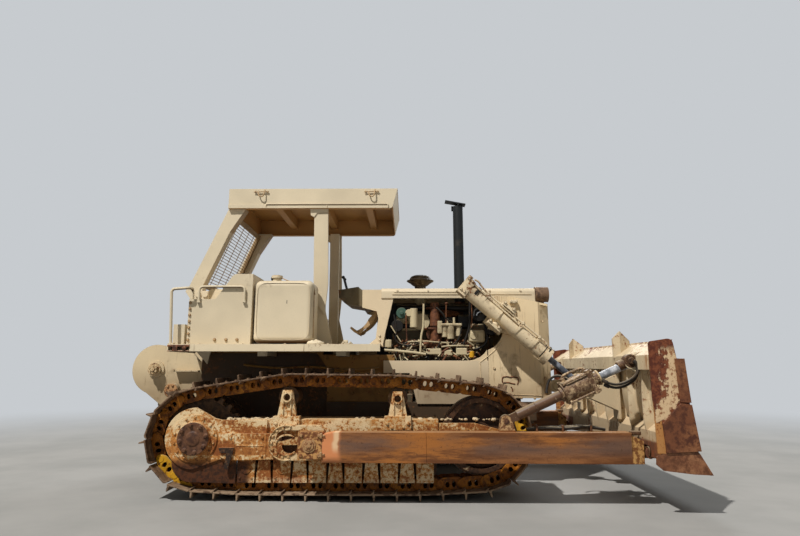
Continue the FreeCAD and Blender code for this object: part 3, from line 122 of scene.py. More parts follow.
class Finish:
    def __init__(self, name):
        self.material = bpy.data.materials.new(name)
        self.material.use_nodes = True
        self.tree = self.material.node_tree
        self.tree.nodes.clear()
        self.place = self.add("TexCoord", out="Object")

    def add(self, kind, settings=None, sockets=None, out=0):
        node = self.tree.nodes.new("ShaderNode" + kind)
        for key, value in (settings or {}).items():
            setattr(node, key, value)
        for key, value in (sockets or {}).items():
            plug(self.tree, node.inputs[key], value)
        return Wire(self.tree, node.outputs[out])

    def noise(self, scale, detail=3.0, rough=0.55, stretch=(1, 1, 1), shift=(0, 0, 0)):
        spot = self.place
        if stretch != (1, 1, 1) or shift != (0, 0, 0):
            spot = self.add("Mapping", None, {"Vector": spot, "Scale": stretch, "Location": shift})
        sockets = {"Vector": spot, "Scale": scale, "Detail": detail, "Roughness": rough}
        return self.add("TexNoise", None, sockets)

    def mix(self, share, under, over):
        return self.add("Mix", {"data_type": "RGBA"}, {0: share, 6: under, 7: over}, out=2)

    def edges(self, width):                  # 1 on outer and inner corners, and the rounded normal
        soft = self.add("Bevel", {"samples": 4}, {"Radius": width})
        flat = self.add("NewGeometry", out="Normal")
        dot = self.add("VectorMath", {"operation": "DOT_PRODUCT"}, {0: soft, 1: flat}, out="Value")
        return (1.0 - dot), soft

    def normalUp(self):                      # -1 on faces that look down, 1 on those that look up
        return self.add("SeparateXYZ", None, {0: self.add("NewGeometry", out="Normal")}, out=2)

    def part(self, axis):                    # one coordinate of the place, in metres
        return self.add("SeparateXYZ", None, {0: self.place}, out="XYZ".index(axis))

    def height(self):
        return self.part("Z")

    def aside(self):                         # how far from the middle plane
        return self.part("Y").maths("ABSOLUTE")

    def relief(self, level, strength, rounded):      # the rounded normal with this relief on it
        sockets = {"Strength": strength, "Distance": reliefDeep, "Height": level, "Normal": rounded}
        return self.add("Bump", None, sockets)

    def surface(self, **sockets):
        sockets.setdefault("Specular_IOR_Level", plainGloss)
        named = {key.replace("_", " "): item for key, item in sockets.items()}
        shader = self.add("BsdfPrincipled", None, named)
        out = self.tree.nodes.new("ShaderNodeOutputMaterial")
        self.tree.links.new(shader.socket, out.inputs["Surface"])
        return self.material


def shade(colour, share):
    return tuple(min(1.0, part * share) for part in colour[:3]) + (1.0,)


def cutFor(share, spread=0.105):             # the noise level that leaves this share of a surface above it
    return 0.5 + spread * NormalDist().inv_cdf(1 - share)


rustDark = toLinear(66, 38, 24)
rustMid = toLinear(118, 74, 44)
rustBright = toLinear(160, 104, 62)
grimeBrown = toLinear(120, 92, 60)
mudPale = toLinear(164, 144, 114)
dustPale = toLinear(178, 162, 134)
fasciaLean = 0.265                           # how far the roof's front fascia leans for its height
fade = 0.002                                 # metres over which one paint gives way to another


def painted(name, colour, seed, rust=0.04, zones=0.5, halo=0.45, grime=0.3, drips=0.15, edge=0.06, size=24.0,
            rough=0.55, low=None, tones=(rustDark, rustMid, rustBright), grimeColour=grimeBrown, bumpy=0.2,
            under=None, inside=None, soft=0.006, dust=0.5, barer=None):
    f = Finish(name)
    near = (seed * 3.1, seed * 1.7, seed * 2.3)
    far = (seed * 2.3 + 9, seed * 3.1, seed * 1.1)
    wide = f.noise(1.1, 3.0, 0.6, shift=near)
    zone = f.noise(2.9, 4.0, 0.6, shift=far)
    spots = f.noise(size, 6.0, 0.68, shift=near)
    fine = f.noise(110.0, 3.0, 0.6, shift=near)
    runs = f.noise(34.0, 3.0, 0.6, stretch=(1, 1, 0.07), shift=far)
    corner, rounded = f.edges(soft)
    base = f.mix(wide.above(0.36, 0.64), shade(colour, 0.90), shade(colour, 1.06))
    base = f.mix(fine.above(0.5, 0.75) * 0.16, base, shade(colour, 0.6))
    dirty = cutFor(grime, 0.09)
    film = (zone * 0.55 + f.noise(8.0, 5.0, 0.65, shift=far) * 0.45).above(dirty, dirty + 0.12)
    film = film * 0.7 + runs.above(cutFor(drips), cutFor(drips) + 0.12) * zone.above(0.36, 0.6) * 0.75
    if low is not None:
        film = film + f.height().below(low[0], low[1]) * (zone + 0.15)
    film = (film + corner.above(0.02, 0.3) * 0.35).maths("MINIMUM", 1.0)
    base = f.mix(film * 0.75, base, f.mix(fine.above(0.3, 0.7), shade(grimeColour, 0.8), grimeColour))
    base = f.mix(f.normalUp().above(0.5, 0.9) * (zone * 0.6 + 0.7) * dust, base, dustPale)
    # Painted shade: faces that look down take the under colour in place of the paint
    if under is not None:
        shaded = f.normalUp().below(-0.75, -0.25)
        if inside is not None:               # painted shade between these bounds too, as the roof is inside its fascias
            x0, x1, y1, z1 = inside
            sloped = f.part("X") + (z1 - f.height()) * fasciaLean
            within = f.part("X").above(x0, x0 + fade) * sloped.below(x1 - fade, x1)
            within = within * f.height().below(z1 - fade, z1) * f.aside().below(y1 - fade, y1)
            shaded = (shaded + within).maths("MINIMUM", 1.0)
        base = f.mix(shaded, base, under)
    cut = cutFor(rust, 0.105 + 0.06 * zones)
    field = spots + (zone - 0.5) * zones + corner * edge * 4.0
    if barer is not None:
        field = field + f.part("X").above(barer[0], barer[0] + 0.02) * barer[1]
    bare = field.above(cut, cut + 0.02)
    ring = field.above(cut - 0.07, cut) * halo
    base = f.mix(ring, base, f.mix(fine.above(0.3, 0.7), shade(tones[1], 1.1), tones[2]))
    tone = f.noise(size * 0.4, 4.0, 0.6, shift=far)
    metal = f.mix(tone.above(0.38, 0.56), tones[0], tones[1])
    metal = f.mix(tone.above(0.54, 0.68) * 0.8, metal, tones[2])
    metal = f.mix(fine.above(0.42, 0.74) * 0.4, metal, shade(tones[0], 0.55))
    base = f.mix(bare, base, metal)
    roughness = (wide * 0.2 + (rough - 0.1)) + film * 0.2 + bare * 0.22
    level = fine * 0.25 + spots * 0.35 - bare * 0.5
    bump = f.relief(level, bumpy, rounded)
    return f.surface(Base_Color=base, Roughness=roughness.maths("MINIMUM", 0.95), Normal=bump)


def steel(name, seed, dark, mid, bright, edge=0.5, shine=0.3, mud=0.1, mudColour=mudPale, metal=0.4, bumpy=0.35,
          size=19.0, low=None, soft=0.005):
    f = Finish(name)
    near = (seed * 3.1, seed * 1.7, seed * 2.3)
    cloud = f.noise(3.4, 5.0, 0.65, shift=near)
    fine = f.noise(100.0, 3.0, 0.65, shift=near)
    spots = f.noise(size, 5.0, 0.65, shift=near)
    corner, rounded = f.edges(soft)
    base = f.mix(spots.above(0.36, 0.60), dark, mid)
    base = f.mix(cloud.above(0.46, 0.62) * spots.above(0.40, 0.60) * 0.85, base, bright)
    base = f.mix(fine.above(0.42, 0.76) * 0.45, base, shade(dark, 0.5))
    cake = (spots * 0.6 + cloud * 0.4).above(cutFor(mud, 0.08), cutFor(mud, 0.08) + 0.03)
    if low is not None:
        cake = (cake + f.height().below(low[0], low[1]) * spots.above(0.40, 0.52)).maths("MINIMUM", 1.0)
    base = f.mix(cake, base, f.mix(fine.above(0.3, 0.7), shade(mudColour, 0.75), mudColour))
    polished = corner.above(0.015, 0.14) * spots.above(0.36, 0.54) * edge
    base = f.mix(polished, base, shade(bright, 1.45))
    level = fine * 0.4 + spots * 0.8 + cake * 0.5
    bump = f.relief(level, bumpy, rounded)
    roughness = (polished * -0.3 + (0.86 - shine)) + cake * 0.1
    return f.surface(Base_Color=base, Roughness=roughness, Metallic=polished * metal, Normal=bump)


def wornArm():                               # bare brown box steel, brushed along its length, with scorched patches
    f = Finish("armSteel")
    brushed = f.noise(16.0, 5.0, 0.65, stretch=(0.12, 1, 1), shift=(3, 1, 2))
    tall = f.noise(2.2, 4.0, 0.6, stretch=(0.5, 1, 1.6), shift=(1, 5, 2))
    spots = f.noise(30.0, 5.0, 0.65, shift=(7, 2, 4))
    fine = f.noise(120.0, 3.0, 0.6)
    corner, rounded = f.edges(0.007)
    middle = f.height().above(0.39, 0.50) * f.height().below(0.55, 0.64)
    base = f.mix(brushed.above(0.38, 0.62), toLinear(100, 60, 32), toLinear(140, 92, 54))
    base = f.mix((middle * tall.above(0.42, 0.60)) * 0.75, base, toLinear(98, 78, 68))
    base = f.mix(tall.below(0.36, 0.50) * brushed.above(0.42, 0.58) * 0.8, base, toLinear(166, 104, 46))
    base = f.mix(f.normalUp().above(0.4, 0.8) * 0.6, base, toLinear(172, 132, 92))
    base = f.mix(spots.above(0.60, 0.66) * 0.5, base, toLinear(70, 42, 28))
    base = f.mix(fine.above(0.45, 0.8) * 0.3, base, toLinear(60, 38, 26))
    x = f.part("X") + (tall - 0.5) * 0.12
    salmon = x.below(-0.42, -0.36) * f.part("X").above(-0.548, -0.540) * f.height().above(0.37, 0.44)
    base = f.mix(salmon * (tall * 0.8 + 0.40).maths("MINIMUM", 0.9), base, toLinear(220, 142, 92))
    # Painted highlight: a pale upright streak on the salmon patch
    base = f.mix(x.above(-0.455, -0.425) * x.below(-0.405, -0.385) * f.height().above(0.44, 0.52) * 0.8, base,
                 toLinear(226, 196, 156))
    old = f.mix(spots.above(0.44, 0.54), toLinear(188, 142, 88), toLinear(110, 66, 38))
    base = f.mix(f.part("X").below(-0.552, -0.546), base, old)
    ears = f.height().above(0.648, 0.656) * f.part("X").above(0.9, 0.95)
    base = f.mix(ears, base, f.mix(spots.above(0.46, 0.56), toLinear(178, 144, 102), toLinear(108, 72, 46)))
    front = f.part("X").above(2.236, 2.240) * f.part("X").below(2.345, 2.350)
    base = f.mix(front, base, f.mix(spots.above(0.46, 0.58), toLinear(182, 140, 84), toLinear(112, 70, 38)))
    base = f.mix(f.part("X").above(2.345, 2.350), base, f.mix(spots.above(0.5, 0.6), toLinear(64, 42, 30),
                                                              toLinear(110, 76, 52)))
    base = f.mix(corner.above(0.03, 0.2) * 0.35, base, toLinear(176, 118, 74))
    level = fine * 0.3 + spots * 0.5 + brushed * 0.5
    bump = f.relief(level, 0.3, rounded)
    return f.surface(Base_Color=base, Roughness=brushed * 0.3 + 0.42, Normal=bump)


def wornFrame():                             # flaking cream above, ochre and brown rust below, mud at the foot
    f = Finish("frameFlaking")
    flakes = f.noise(34.0, 6.0, 0.70, shift=(6, 1, 4))
    patchy = f.noise(5.5, 5.0, 0.65, stretch=(0.7, 1, 1.4), shift=(2, 6, 1))
    wide = f.noise(1.6, 3.0, 0.6, shift=(4, 4, 9))
    fine = f.noise(130.0, 3.0, 0.6)
    corner, rounded = f.edges(0.007)
    x, z = f.part("X"), f.height()
    lower = z.below(0.34, 0.62)
    hubRing = (((x + 1.79) * (x + 1.79)) + ((z - 0.554) * (z - 0.554))).below(0.055, 0.100)
    rock = x.below(-1.30, -1.22) * z.below(0.30, 0.40)
    shoulder = z.above(0.60, 0.72) * 0.10
    guards = z.below(0.400, 0.415) * (1.0 - rock)
    cover = (flakes - 0.5) * 1.5 + (patchy - 0.5) * 0.8 + (wide - 0.5) * 0.5
    cover = cover + shoulder * 0.6 + hubRing * -0.03 + guards * 0.02
    cover = cover - lower * (1.0 - guards) * 0.16 - rock * 0.6 - corner * 0.14 - 0.025
    out, u, v = f.aside(), x + 0.917, z - 0.520
    disc = (u * u + v * v).below(0.0262, 0.0272) * out.above(1.245, 1.248)
    cover = cover + disc * 0.16
    paint = f.mix(patchy.above(0.40, 0.60), toLinear(196, 162, 112), toLinear(222, 198, 156))
    paint = f.mix(fine.above(0.42, 0.72) * 0.35, paint, toLinear(128, 90, 56))
    rust = f.mix(patchy.above(0.42, 0.56), toLinear(144, 84, 38), toLinear(200, 136, 70))
    rust = f.mix(wide.above(0.50, 0.60) * 0.8, rust, toLinear(212, 144, 70))
    rust = f.mix(lower * (1.0 - guards) * 0.5, rust, toLinear(124, 70, 34))
    rust = f.mix(flakes.above(0.34, 0.46), toLinear(92, 52, 28), rust)
    rust = f.mix(fine.above(0.40, 0.72) * 0.45, rust, toLinear(74, 42, 24))
    # The rock guard's red-brown rust, darkened further with painted shade
    rust = f.mix(rock * 0.95, rust, f.mix(flakes.above(0.44, 0.56), toLinear(40, 20, 10), toLinear(72, 38, 19)))
    base = f.mix(cover.above(-0.09, 0.00) * (0.60 - rock * 0.5), rust, toLinear(184, 132, 74))
    base = f.mix(cover.above(0.005, 0.030), base, paint)
    base = f.mix(f.normalUp().above(0.5, 0.9) * 0.5, base, toLinear(190, 154, 110))
    hanger = f.aside().above(1.236, 1.240) * z.below(0.47, 0.48)
    hanger = hanger * x.below(-1.32, -1.31) * x.above(-1.60, -1.59)
    base = f.mix(hanger, base, f.mix(flakes.above(0.5, 0.6), toLinear(42, 30, 22), toLinear(92, 64, 42)))
    u, v = x + 0.905, z - 0.500
    # Painted shade: the inside of the pocket, behind the frame's face, is made near black
    pocket = (u * u + v * v).below(0.0085, 0.0105) * out.below(1.238, 1.243) * out.above(1.02, 1.06)
    base = f.mix(pocket * 0.85, base, toLinear(38, 22, 13))
    foot = z.below(0.155, 0.215) * flakes.above(0.42, 0.52) * (1.0 - rock)
    base = f.mix(foot * 0.7, base, toLinear(206, 188, 154))
    level = fine * 0.25 + flakes * 0.5 + cover.above(0.005, 0.030) * 0.5
    bump = f.relief(level, 0.45, rounded)
    return f.surface(Base_Color=base, Roughness=flakes * 0.2 + 0.6, Normal=bump)


def wornBlade():                             # cream back, red-brown end plates with a worn pale middle
    f = Finish("bladeWorn")
    spots = f.noise(22.0, 6.0, 0.68, shift=(2, 8, 1))
    zone = f.noise(2.6, 4.0, 0.6, shift=(5, 1, 3))
    fine = f.noise(110.0, 3.0, 0.6)
    runs = f.noise(30.0, 4.0, 0.6, stretch=(1, 1, 0.12), shift=(1, 2, 7))
    corner, rounded = f.edges(0.007)
    paint = f.mix(zone.above(0.4, 0.6), toLinear(198, 180, 148), toLinear(216, 200, 168))
    film = runs.above(0.50, 0.72) * zone.above(0.40, 0.6) * 0.6 + f.height().below(0.36, 0.95) * (zone + 0.3) * 0.75
    paint = f.mix(film.maths("MINIMUM", 0.9), paint, toLinear(150, 112, 72))
    rust = f.mix(spots.above(0.42, 0.6), toLinear(84, 40, 26), toLinear(124, 70, 44))
    rust = f.mix(fine.above(0.42, 0.76) * 0.4, rust, toLinear(52, 26, 18))
    field = spots + (zone - 0.5) * 0.6 + corner * 0.26 + f.height().above(1.33, 1.47) * 0.10
    field = field + f.aside().above(1.62, 1.72) * f.height().above(1.36, 1.42) * 0.14
    inner = f.mix(field.above(0.56, 0.65) * 0.5, paint, toLinear(156, 112, 74))
    inner = f.mix(field.above(0.655, 0.675), inner, rust)
    eyeX, eyeZ = f.part("X") - 2.400, f.height() - 0.460
    eyes = (eyeX * eyeX + eyeZ * eyeZ).below(0.010, 0.016) * f.aside().above(1.10, 1.15)
    inner = f.mix(eyes * 0.9, inner, rust)
    streak = f.aside().above(1.56, 1.74) * runs.above(0.42, 0.60) * zone.above(0.38, 0.56)
    inner = f.mix(streak * 0.8, inner, toLinear(156, 102, 54))
    outward = f.aside().above(1.775, 1.781)
    middle = f.part("X") - 2.515 + (f.height() * -1.0 + 0.98).maths("MAXIMUM", 0.0) * 0.80
    away = middle.maths("ABSOLUTE") + (f.height() - 1.15).maths("ABSOLUTE") * 0.06
    wornMiddle = (away * 9.0 + (spots - 0.5) * 2.6 + (runs - 0.5) * 2.2 + (zone - 0.5) * 1.5).below(0.50, 0.80)
    wornMiddle = wornMiddle * f.height().above(0.62, 0.80) * f.height().below(1.34, 1.41)
    ends = f.mix(wornMiddle, rust, f.mix(spots.above(0.5, 0.62), toLinear(206, 178, 140), toLinear(150, 108, 74)))
    base = f.mix(outward, inner, ends)
    level = fine * 0.25 + spots * 0.5 - field.above(0.655, 0.675) * 0.4
    bump = f.relief(level, 0.3, rounded)
    return f.surface(Base_Color=base, Roughness=spots * 0.3 + 0.45, Normal=bump)


cream = toLinear(212, 198, 170)
ochre = (toLinear(86, 46, 10), toLinear(146, 86, 18), toLinear(184, 120, 34))
# Each under= colour below is painted shade, put on the faces that look down
finishes = {
    "canopy": painted("canopyPaint", cream, 1.0, rust=0.003, zones=0.2, grime=0.12, drips=0.05, edge=0.02,
                      under=toLinear(132, 92, 52)),
    "roof": painted("roofPaint", cream, 1.0, rust=0.003, zones=0.2, grime=0.12, drips=0.05, edge=0.02,
                    under=toLinear(178, 134, 80), inside=(-1.724, 0.117, 0.744, 3.125)),
    "screen": painted("screenPaint", toLinear(150, 124, 88), 2.0, rust=0.08, zones=0.2, grime=0.4),
    "fender": painted("fenderPaint", cream, 3.0, rust=0.006, zones=0.35, grime=0.16, drips=0.08, edge=0.05,
                      under=toLinear(84, 60, 36)),
    "deckEdge": painted("deckPaint", toLinear(218, 203, 173), 4.0, rust=0.05, zones=0.6, grime=0.16, edge=0.16,
                        under=toLinear(84, 60, 36)),
    "body": painted("bodyPaint", toLinear(215, 197, 166), 5.0, rust=0.02, zones=0.6, grime=0.18, drips=0.12,
                    edge=0.10,
                    low=(0.95, 1.30), under=toLinear(90, 64, 40)),
    "guard": painted("guardPaint", toLinear(225, 204, 166), 7.0, rust=0.045, zones=0.5, grime=0.36, drips=0.26,
                     edge=0.24,
                     low=(0.85, 1.30), size=30.0, grimeColour=toLinear(132, 98, 60)),
    "winch": painted("winchPaint", toLinear(206, 188, 154), 5.5, rust=0.03, zones=0.6, grime=0.28, drips=0.15,
                     edge=0.26,
                     low=(0.95, 1.30), size=36.0),
    "case": painted("casePaint", toLinear(150, 112, 58), 17.5, rust=0.2, zones=0.5, grime=0.6,
                    grimeColour=toLinear(92, 66, 38)),
    "cylinder": painted("cylinderPaint", toLinear(222, 204, 170), 9.0, rust=0.15, zones=0.5, halo=0.6, grime=0.50,
                        edge=0.24,
                        grimeColour=toLinear(92, 70, 46), size=32.0, bumpy=0.3),
    "strut": painted("strutSteel", toLinear(92, 66, 47), 10.0, rust=0.10, zones=0.3, halo=0.25, grime=0.5,
                     edge=0.14, rough=0.42,
                     tones=(toLinear(128, 102, 76), toLinear(176, 150, 116), toLinear(212, 190, 154)), size=40.0,
                     grimeColour=toLinear(62, 44, 34), barer=(1.64, 0.15), bumpy=0.35),
    "eye": painted("rodEyeSteel", toLinear(84, 58, 40), 10.4, rust=0.2, zones=0.3, grime=0.5, edge=0.2, size=50.0,
                   tones=(toLinear(52, 34, 24), toLinear(128, 96, 66), toLinear(190, 160, 118)),
                   grimeColour=toLinear(50, 36, 28)),
    "hood": painted("hoodPaint", toLinear(214, 199, 170), 3.5, rust=0.02, zones=0.6, grime=0.14, drips=0.06,
                    edge=0.14),
    "edgeRust": painted("edgeRust", toLinear(172, 122, 70), 8.2, rust=0.3, zones=0.3, halo=0.6, grime=0.4, edge=0.1,
                        size=46.0,
                        tones=(toLinear(84, 46, 26), toLinear(140, 84, 44), toLinear(180, 118, 62)),
                        grimeColour=toLinear(140, 92, 48)),
    "arm": wornArm(),
    "cap": painted("capPaint", toLinear(176, 138, 96), 12.0, rust=0.35, zones=0.4, halo=0.7, grime=0.5, edge=0.12,
                   tones=(toLinear(92, 56, 34), toLinear(134, 88, 54), toLinear(170, 120, 78)), size=40.0,
                   grimeColour=toLinear(128, 88, 56), bumpy=0.35),
    "mottled": painted("mottledPaint", toLinear(196, 174, 136), 12.4, rust=0.22, zones=0.3, grime=0.5, edge=0.12,
                       size=50.0),
    "tan": painted("tanPaint", toLinear(178, 150, 112), 12.8, rust=0.12, zones=0.3, grime=0.5, edge=0.10, size=44.0,
                   grimeColour=toLinear(126, 92, 58)),
    "frame": wornFrame(),
    "bladeBack": wornBlade(),
    "links": steel("linkSteel", 2.0, *ochre, mud=0.06, edge=0.5),
    "shoes": steel("shoeSteel", 2.6, toLinear(74, 54, 38), toLinear(112, 88, 68), toLinear(150, 124, 98), mud=0.10,
                   low=(0.02, 0.22), mudColour=toLinear(150, 128, 104)),
    "yellow": painted("linkYellow", toLinear(208, 156, 34), 14.0, rust=0.22, zones=0.3, grime=0.3,
                      tones=(toLinear(80, 50, 20), toLinear(130, 84, 34), toLinear(170, 118, 50))),
    "rollers": steel("rollerSteel", 4.0, toLinear(52, 36, 24), toLinear(96, 70, 46), toLinear(130, 98, 66)),
    "idler": steel("idlerSteel", 4.4, toLinear(44, 28, 18), toLinear(74, 48, 30), toLinear(104, 72, 46)),
    "hub": steel("hubSteel", 6.0, toLinear(66, 42, 30), toLinear(104, 70, 48), toLinear(128, 92, 64), edge=0.3),
    "wornPlate": steel("wornPlate", 8.0, toLinear(78, 44, 30), toLinear(112, 68, 44), toLinear(138, 92, 60),
                       mud=0.02,
                       edge=0.4, metal=0.2, shine=0.36),
    "endBit": steel("endBitSteel", 8.6, toLinear(96, 60, 40), toLinear(126, 82, 56), toLinear(150, 106, 74),
                    mud=0.04,
                    edge=0.6, metal=0.2, shine=0.36),
    "dark": painted("darkPaint", toLinear(72, 56, 40), 17.0, rust=0.12, zones=0.5, grime=0.6, edge=0.06,
                    grimeColour=toLinear(84, 62, 42)),
    "black": painted("blackPaint", toLinear(26, 29, 30), 19.0, rust=0.01, zones=0.3, grime=0.25, edge=0.03,
                     grimeColour=toLinear(74, 66, 56), rough=0.5),
    "iron": painted("engineIron", toLinear(104, 94, 72), 21.0, rust=0.15, zones=0.5, grime=0.65, edge=0.10,
                    grimeColour=toLinear(46, 36, 26), size=34.0),
    "engineCream": painted("enginePaint", toLinear(196, 182, 148), 22.0, rust=0.08, zones=0.4, grime=0.40,
                           edge=0.16,
                           grimeColour=toLinear(84, 66, 44), size=40.0),
    "engineGreen": painted("engineGreen", toLinear(62, 88, 76), 22.6, rust=0.06, zones=0.4, grime=0.3, size=40.0),
    "oily": painted("oilyBlack", toLinear(26, 23, 20), 23.0, rust=0.03, zones=0.3, grime=0.4, edge=0.02, rough=0.42,
                    grimeColour=toLinear(44, 34, 24)),
    "rustyIron": steel("exhaustRust", 10.0, toLinear(66, 40, 28), toLinear(112, 70, 46), toLinear(146, 98, 66),
                       mud=0.01),
    "lampBrown": steel("lampRust", 10.6, toLinear(84, 64, 50), toLinear(112, 88, 68), toLinear(140, 112, 86),
                       mud=0.04),
    "precleaner": steel("bowlDust", 10.9, toLinear(54, 42, 28), toLinear(84, 68, 46), toLinear(116, 98, 70),
                        mud=0.06),
    "chrome": steel("rodChrome", 12.0, toLinear(120, 124, 130), toLinear(172, 176, 182), toLinear(206, 208, 212),
                    mud=0.02, shine=0.62, metal=0.9, bumpy=0.04, edge=0.2, size=9.0),
    "rodDark": steel("rodDark", 12.5, toLinear(70, 74, 82), toLinear(112, 118, 128), toLinear(150, 156, 166),
                     mud=0.04,
                     shine=0.56, metal=0.8, bumpy=0.06, size=12.0),
    "fins": painted("radiatorFins", toLinear(70, 68, 64), 24.0, rust=0.02, zones=0.3, grime=0.5),
    "hose": painted("hoseRubber", toLinear(40, 36, 32), 25.0, rust=0.0001, grime=0.45,
                    grimeColour=toLinear(88, 72, 54)),
    "vinyl": painted("seatVinyl", toLinear(44, 40, 37), 27.0, rust=0.0001, grime=0.25, rough=0.42, bumpy=0.35,
                     grimeColour=toLinear(92, 80, 66)),
    "mud": painted("driedMud", toLinear(196, 176, 142), 28.0, rust=0.2, zones=0.4, grime=0.4, rough=0.85, bumpy=0.8,
                   tones=(toLinear(112, 84, 56), toLinear(150, 118, 82), toLinear(180, 148, 108)), size=45.0),
}

nodeFinish = {
    "canopy_roof": "roof", "canopy_posts": "canopy", "rear_screen": "screen",
    "deck": "deckEdge", "hydraulic_tank": "fender", "side_boxes": "fender", "fuel_tank": "fender",
    "battery_box": "fender", "handrails": "fender", "winch_case": "winch", "winch_housing": "dark",
    "hood": "hood", "cowl": "body", "side_panels": "body", "instrument_panel": "iron",
    "radiator_guard": "guard", "lift_yokes": "guard",
    "lift_barrel_right": "cylinder", "lift_barrel_left": "cylinder", "tilt_cylinder": "strut",
              "brace_left": "strut",
    "push_arms": "arm", "track_frames": "frame", "blade": "bladeBack",
    "tracks": "links", "track_rollers": "rollers", "carrier_rollers": "rollers", "idlers": "idler",
    "sprockets": "rollers", "wear_plates": "wornPlate", "end_bits": "endBit", "cutting_edge": "endBit",
    "linkage_pins": "hub", "winch_drum": "rollers",
    "main_frame": "dark", "equalizer_bar": "dark", "drawbar": "dark", "control_levers": "black",
              "foot_pedals": "tan",
    "seat_base": "black", "grille": "dark", "cooling_fan": "dark", "exhaust_stack": "black",
              "precleaner": "precleaner",
    "headlamps": "lampBrown", "engine_block": "iron", "engine_auxiliaries": "iron", "air_cleaner": "engineCream",
    "exhaust_manifold": "rustyIron", "exhaust_crossover": "rustyIron", "radiator_core": "fins",
    "lift_rod_right": "rodDark", "lift_rod_left": "rodDark", "tilt_rod": "chrome", "tilt_hoses": "hose",
    "seat_cushion": "vinyl", "seat_back": "vinyl",
}
for name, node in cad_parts.items():
    for k in range(len(node.data.materials)):
        node.data.materials[k] = finishes[nodeFinish[name]]
print("finishes made:", len(finishes))


# Mesh helpers
def finishPiece(bm, name, finish, body="chassis", replaced=(), smooth=30):
    bmesh.ops.recalc_face_normals(bm, faces=bm.faces)
    bmesh.ops.remove_doubles(bm, verts=bm.verts, dist=1e-6)
    mesh = bpy.data.meshes.new(name)
    bm.to_mesh(mesh)
    bm.free()
    piece = bpy.data.objects.new(name, mesh)
    scene.collection.objects.link(piece)
    mesh.materials.append(finishes[finish])
    for face in mesh.polygons:
        face.use_smooth = True
    sharpen(mesh, smooth)
    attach(piece, body)
    if replaced:
        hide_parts(*replaced)


def onBothSides(bm):                         # the same again on the left side
    bmesh.ops.mirror(bm, geom=bm.verts[:] + bm.edges[:] + bm.faces[:], axis="Y", merge_dist=-1)


def sharpen(mesh, angle):
    bm = bmesh.new()
    bm.from_mesh(mesh)
    limit = math.radians(angle)
    for edge in bm.edges:
        edge.smooth = len(edge.link_faces) == 2 and edge.calc_face_angle(0) < limit
    bm.to_mesh(mesh)
    bm.free()


def block(bm, low, high, bevel=0.0, segments=1):
    size = [b - a for a, b in zip(low, high)]
    middle = [(a + b) / 2 for a, b in zip(low, high)]
    made = bmesh.ops.create_cube(bm, size=1.0, matrix=Matrix.Translation(middle) @ Matrix.Diagonal(size + [1]))
    if bevel:
        edges = list({e for v in made["verts"] for e in v.link_edges})
        made = bmesh.ops.bevel(bm, geom=edges, offset=bevel, offset_type="OFFSET", affect="EDGES",
                               segments=segments,
                               profile=0.5, material=-1)
    return made["verts"]


def aim(start, end):
    way = Vector(end) - Vector(start)
    turn = way.to_track_quat("Z", "Y").to_matrix().to_4x4()
    return Matrix.Translation((Vector(start) + Vector(end)) / 2) @ turn, way.length


def bar(bm, start, end, radius, sides=16, tip=None, bevel=0.0):
    place, length = aim(start, end)
    made = bmesh.ops.create_cone(bm, cap_ends=True, segments=sides, radius1=radius,
                                 radius2=radius if tip is None else tip, depth=length, matrix=place)
    if bevel:
        rims = list({e for v in made["verts"] for e in v.link_edges if any(len(f.verts) > 4 for f in e.link_faces)})
        made = bmesh.ops.bevel(bm, geom=rims, offset=bevel, affect="EDGES", segments=1, profile=0.5, material=-1)
    return made["verts"]


def band(bm, start, end, radius):            # an open band round a cylinder
    place, length = aim(start, end)
    bmesh.ops.create_cone(bm, segments=32, radius1=radius, radius2=radius, depth=length, cap_ends=False,
                          matrix=place)


def hexBolt(bm, place, size, height, outward=(0, -1, 0)):         # on its washer
    out = Vector(outward).normalized()
    spot = Vector(place)
    bar(bm, spot, spot + out * height * 0.25, size * 1.25, sides=12)
    bar(bm, spot, spot + out * height, size, sides=6, bevel=size * 0.12)


def plate(bm, outline, low, high, bevel=0.0):            # an outline seen from the side, drawn out from low to high
    corners = [bm.verts.new((u, low, v)) for u, v in outline]
    face = bm.faces.new(corners)
    made = bmesh.ops.extrude_face_region(bm, geom=[face])["geom"]
    raised = [item for item in made if isinstance(item, bmesh.types.BMVert)]
    bmesh.ops.translate(bm, verts=raised, vec=(0, high - low, 0))
    whole = corners + raised
    bmesh.ops.recalc_face_normals(bm, faces=list({f for v in whole for f in v.link_faces}))
    if bevel:
        edges = list({e for v in whole for e in v.link_edges})
        bmesh.ops.bevel(bm, geom=edges, offset=bevel, affect="EDGES", segments=1, profile=0.5, material=-1)


def arc(x, z, radius, first, last, steps, tall=1.0):      # points round a circle, in degrees
    turns = [math.radians(first + (last - first) * k / steps) for k in range(steps + 1)]
    return [(x + radius * math.cos(a), z + radius * tall * math.sin(a)) for a in turns]


def ring(x, z, radius, count, first):        # points spread evenly round a circle, from this angle
    return arc(x, z, radius, first, first + 360, count)[:-1]


def pipe(bm, points, radius, sides=3):       # a round pipe or held hose through a few points
    curve = bpy.data.curves.new("pipe", "CURVE")
    curve.dimensions = "3D"
    curve.bevel_depth, curve.bevel_resolution, curve.resolution_u = radius, sides, 6
    curve.use_fill_caps = True
    spline = curve.splines.new("NURBS")
    spline.points.add(len(points) - 1)
    for spot, point in zip(spline.points, points):
        spot.co = (*point, 1.0)
    spline.order_u, spline.use_endpoint_u = 3, True
    holder = bpy.data.objects.new("pipe", curve)
    scene.collection.objects.link(holder)
    mesh = bpy.data.meshes.new_from_object(holder.evaluated_get(bpy.context.evaluated_depsgraph_get()))
    bm.from_mesh(mesh)
    bpy.data.objects.remove(holder)
    bpy.data.curves.remove(curve)
    bpy.data.meshes.remove(mesh)


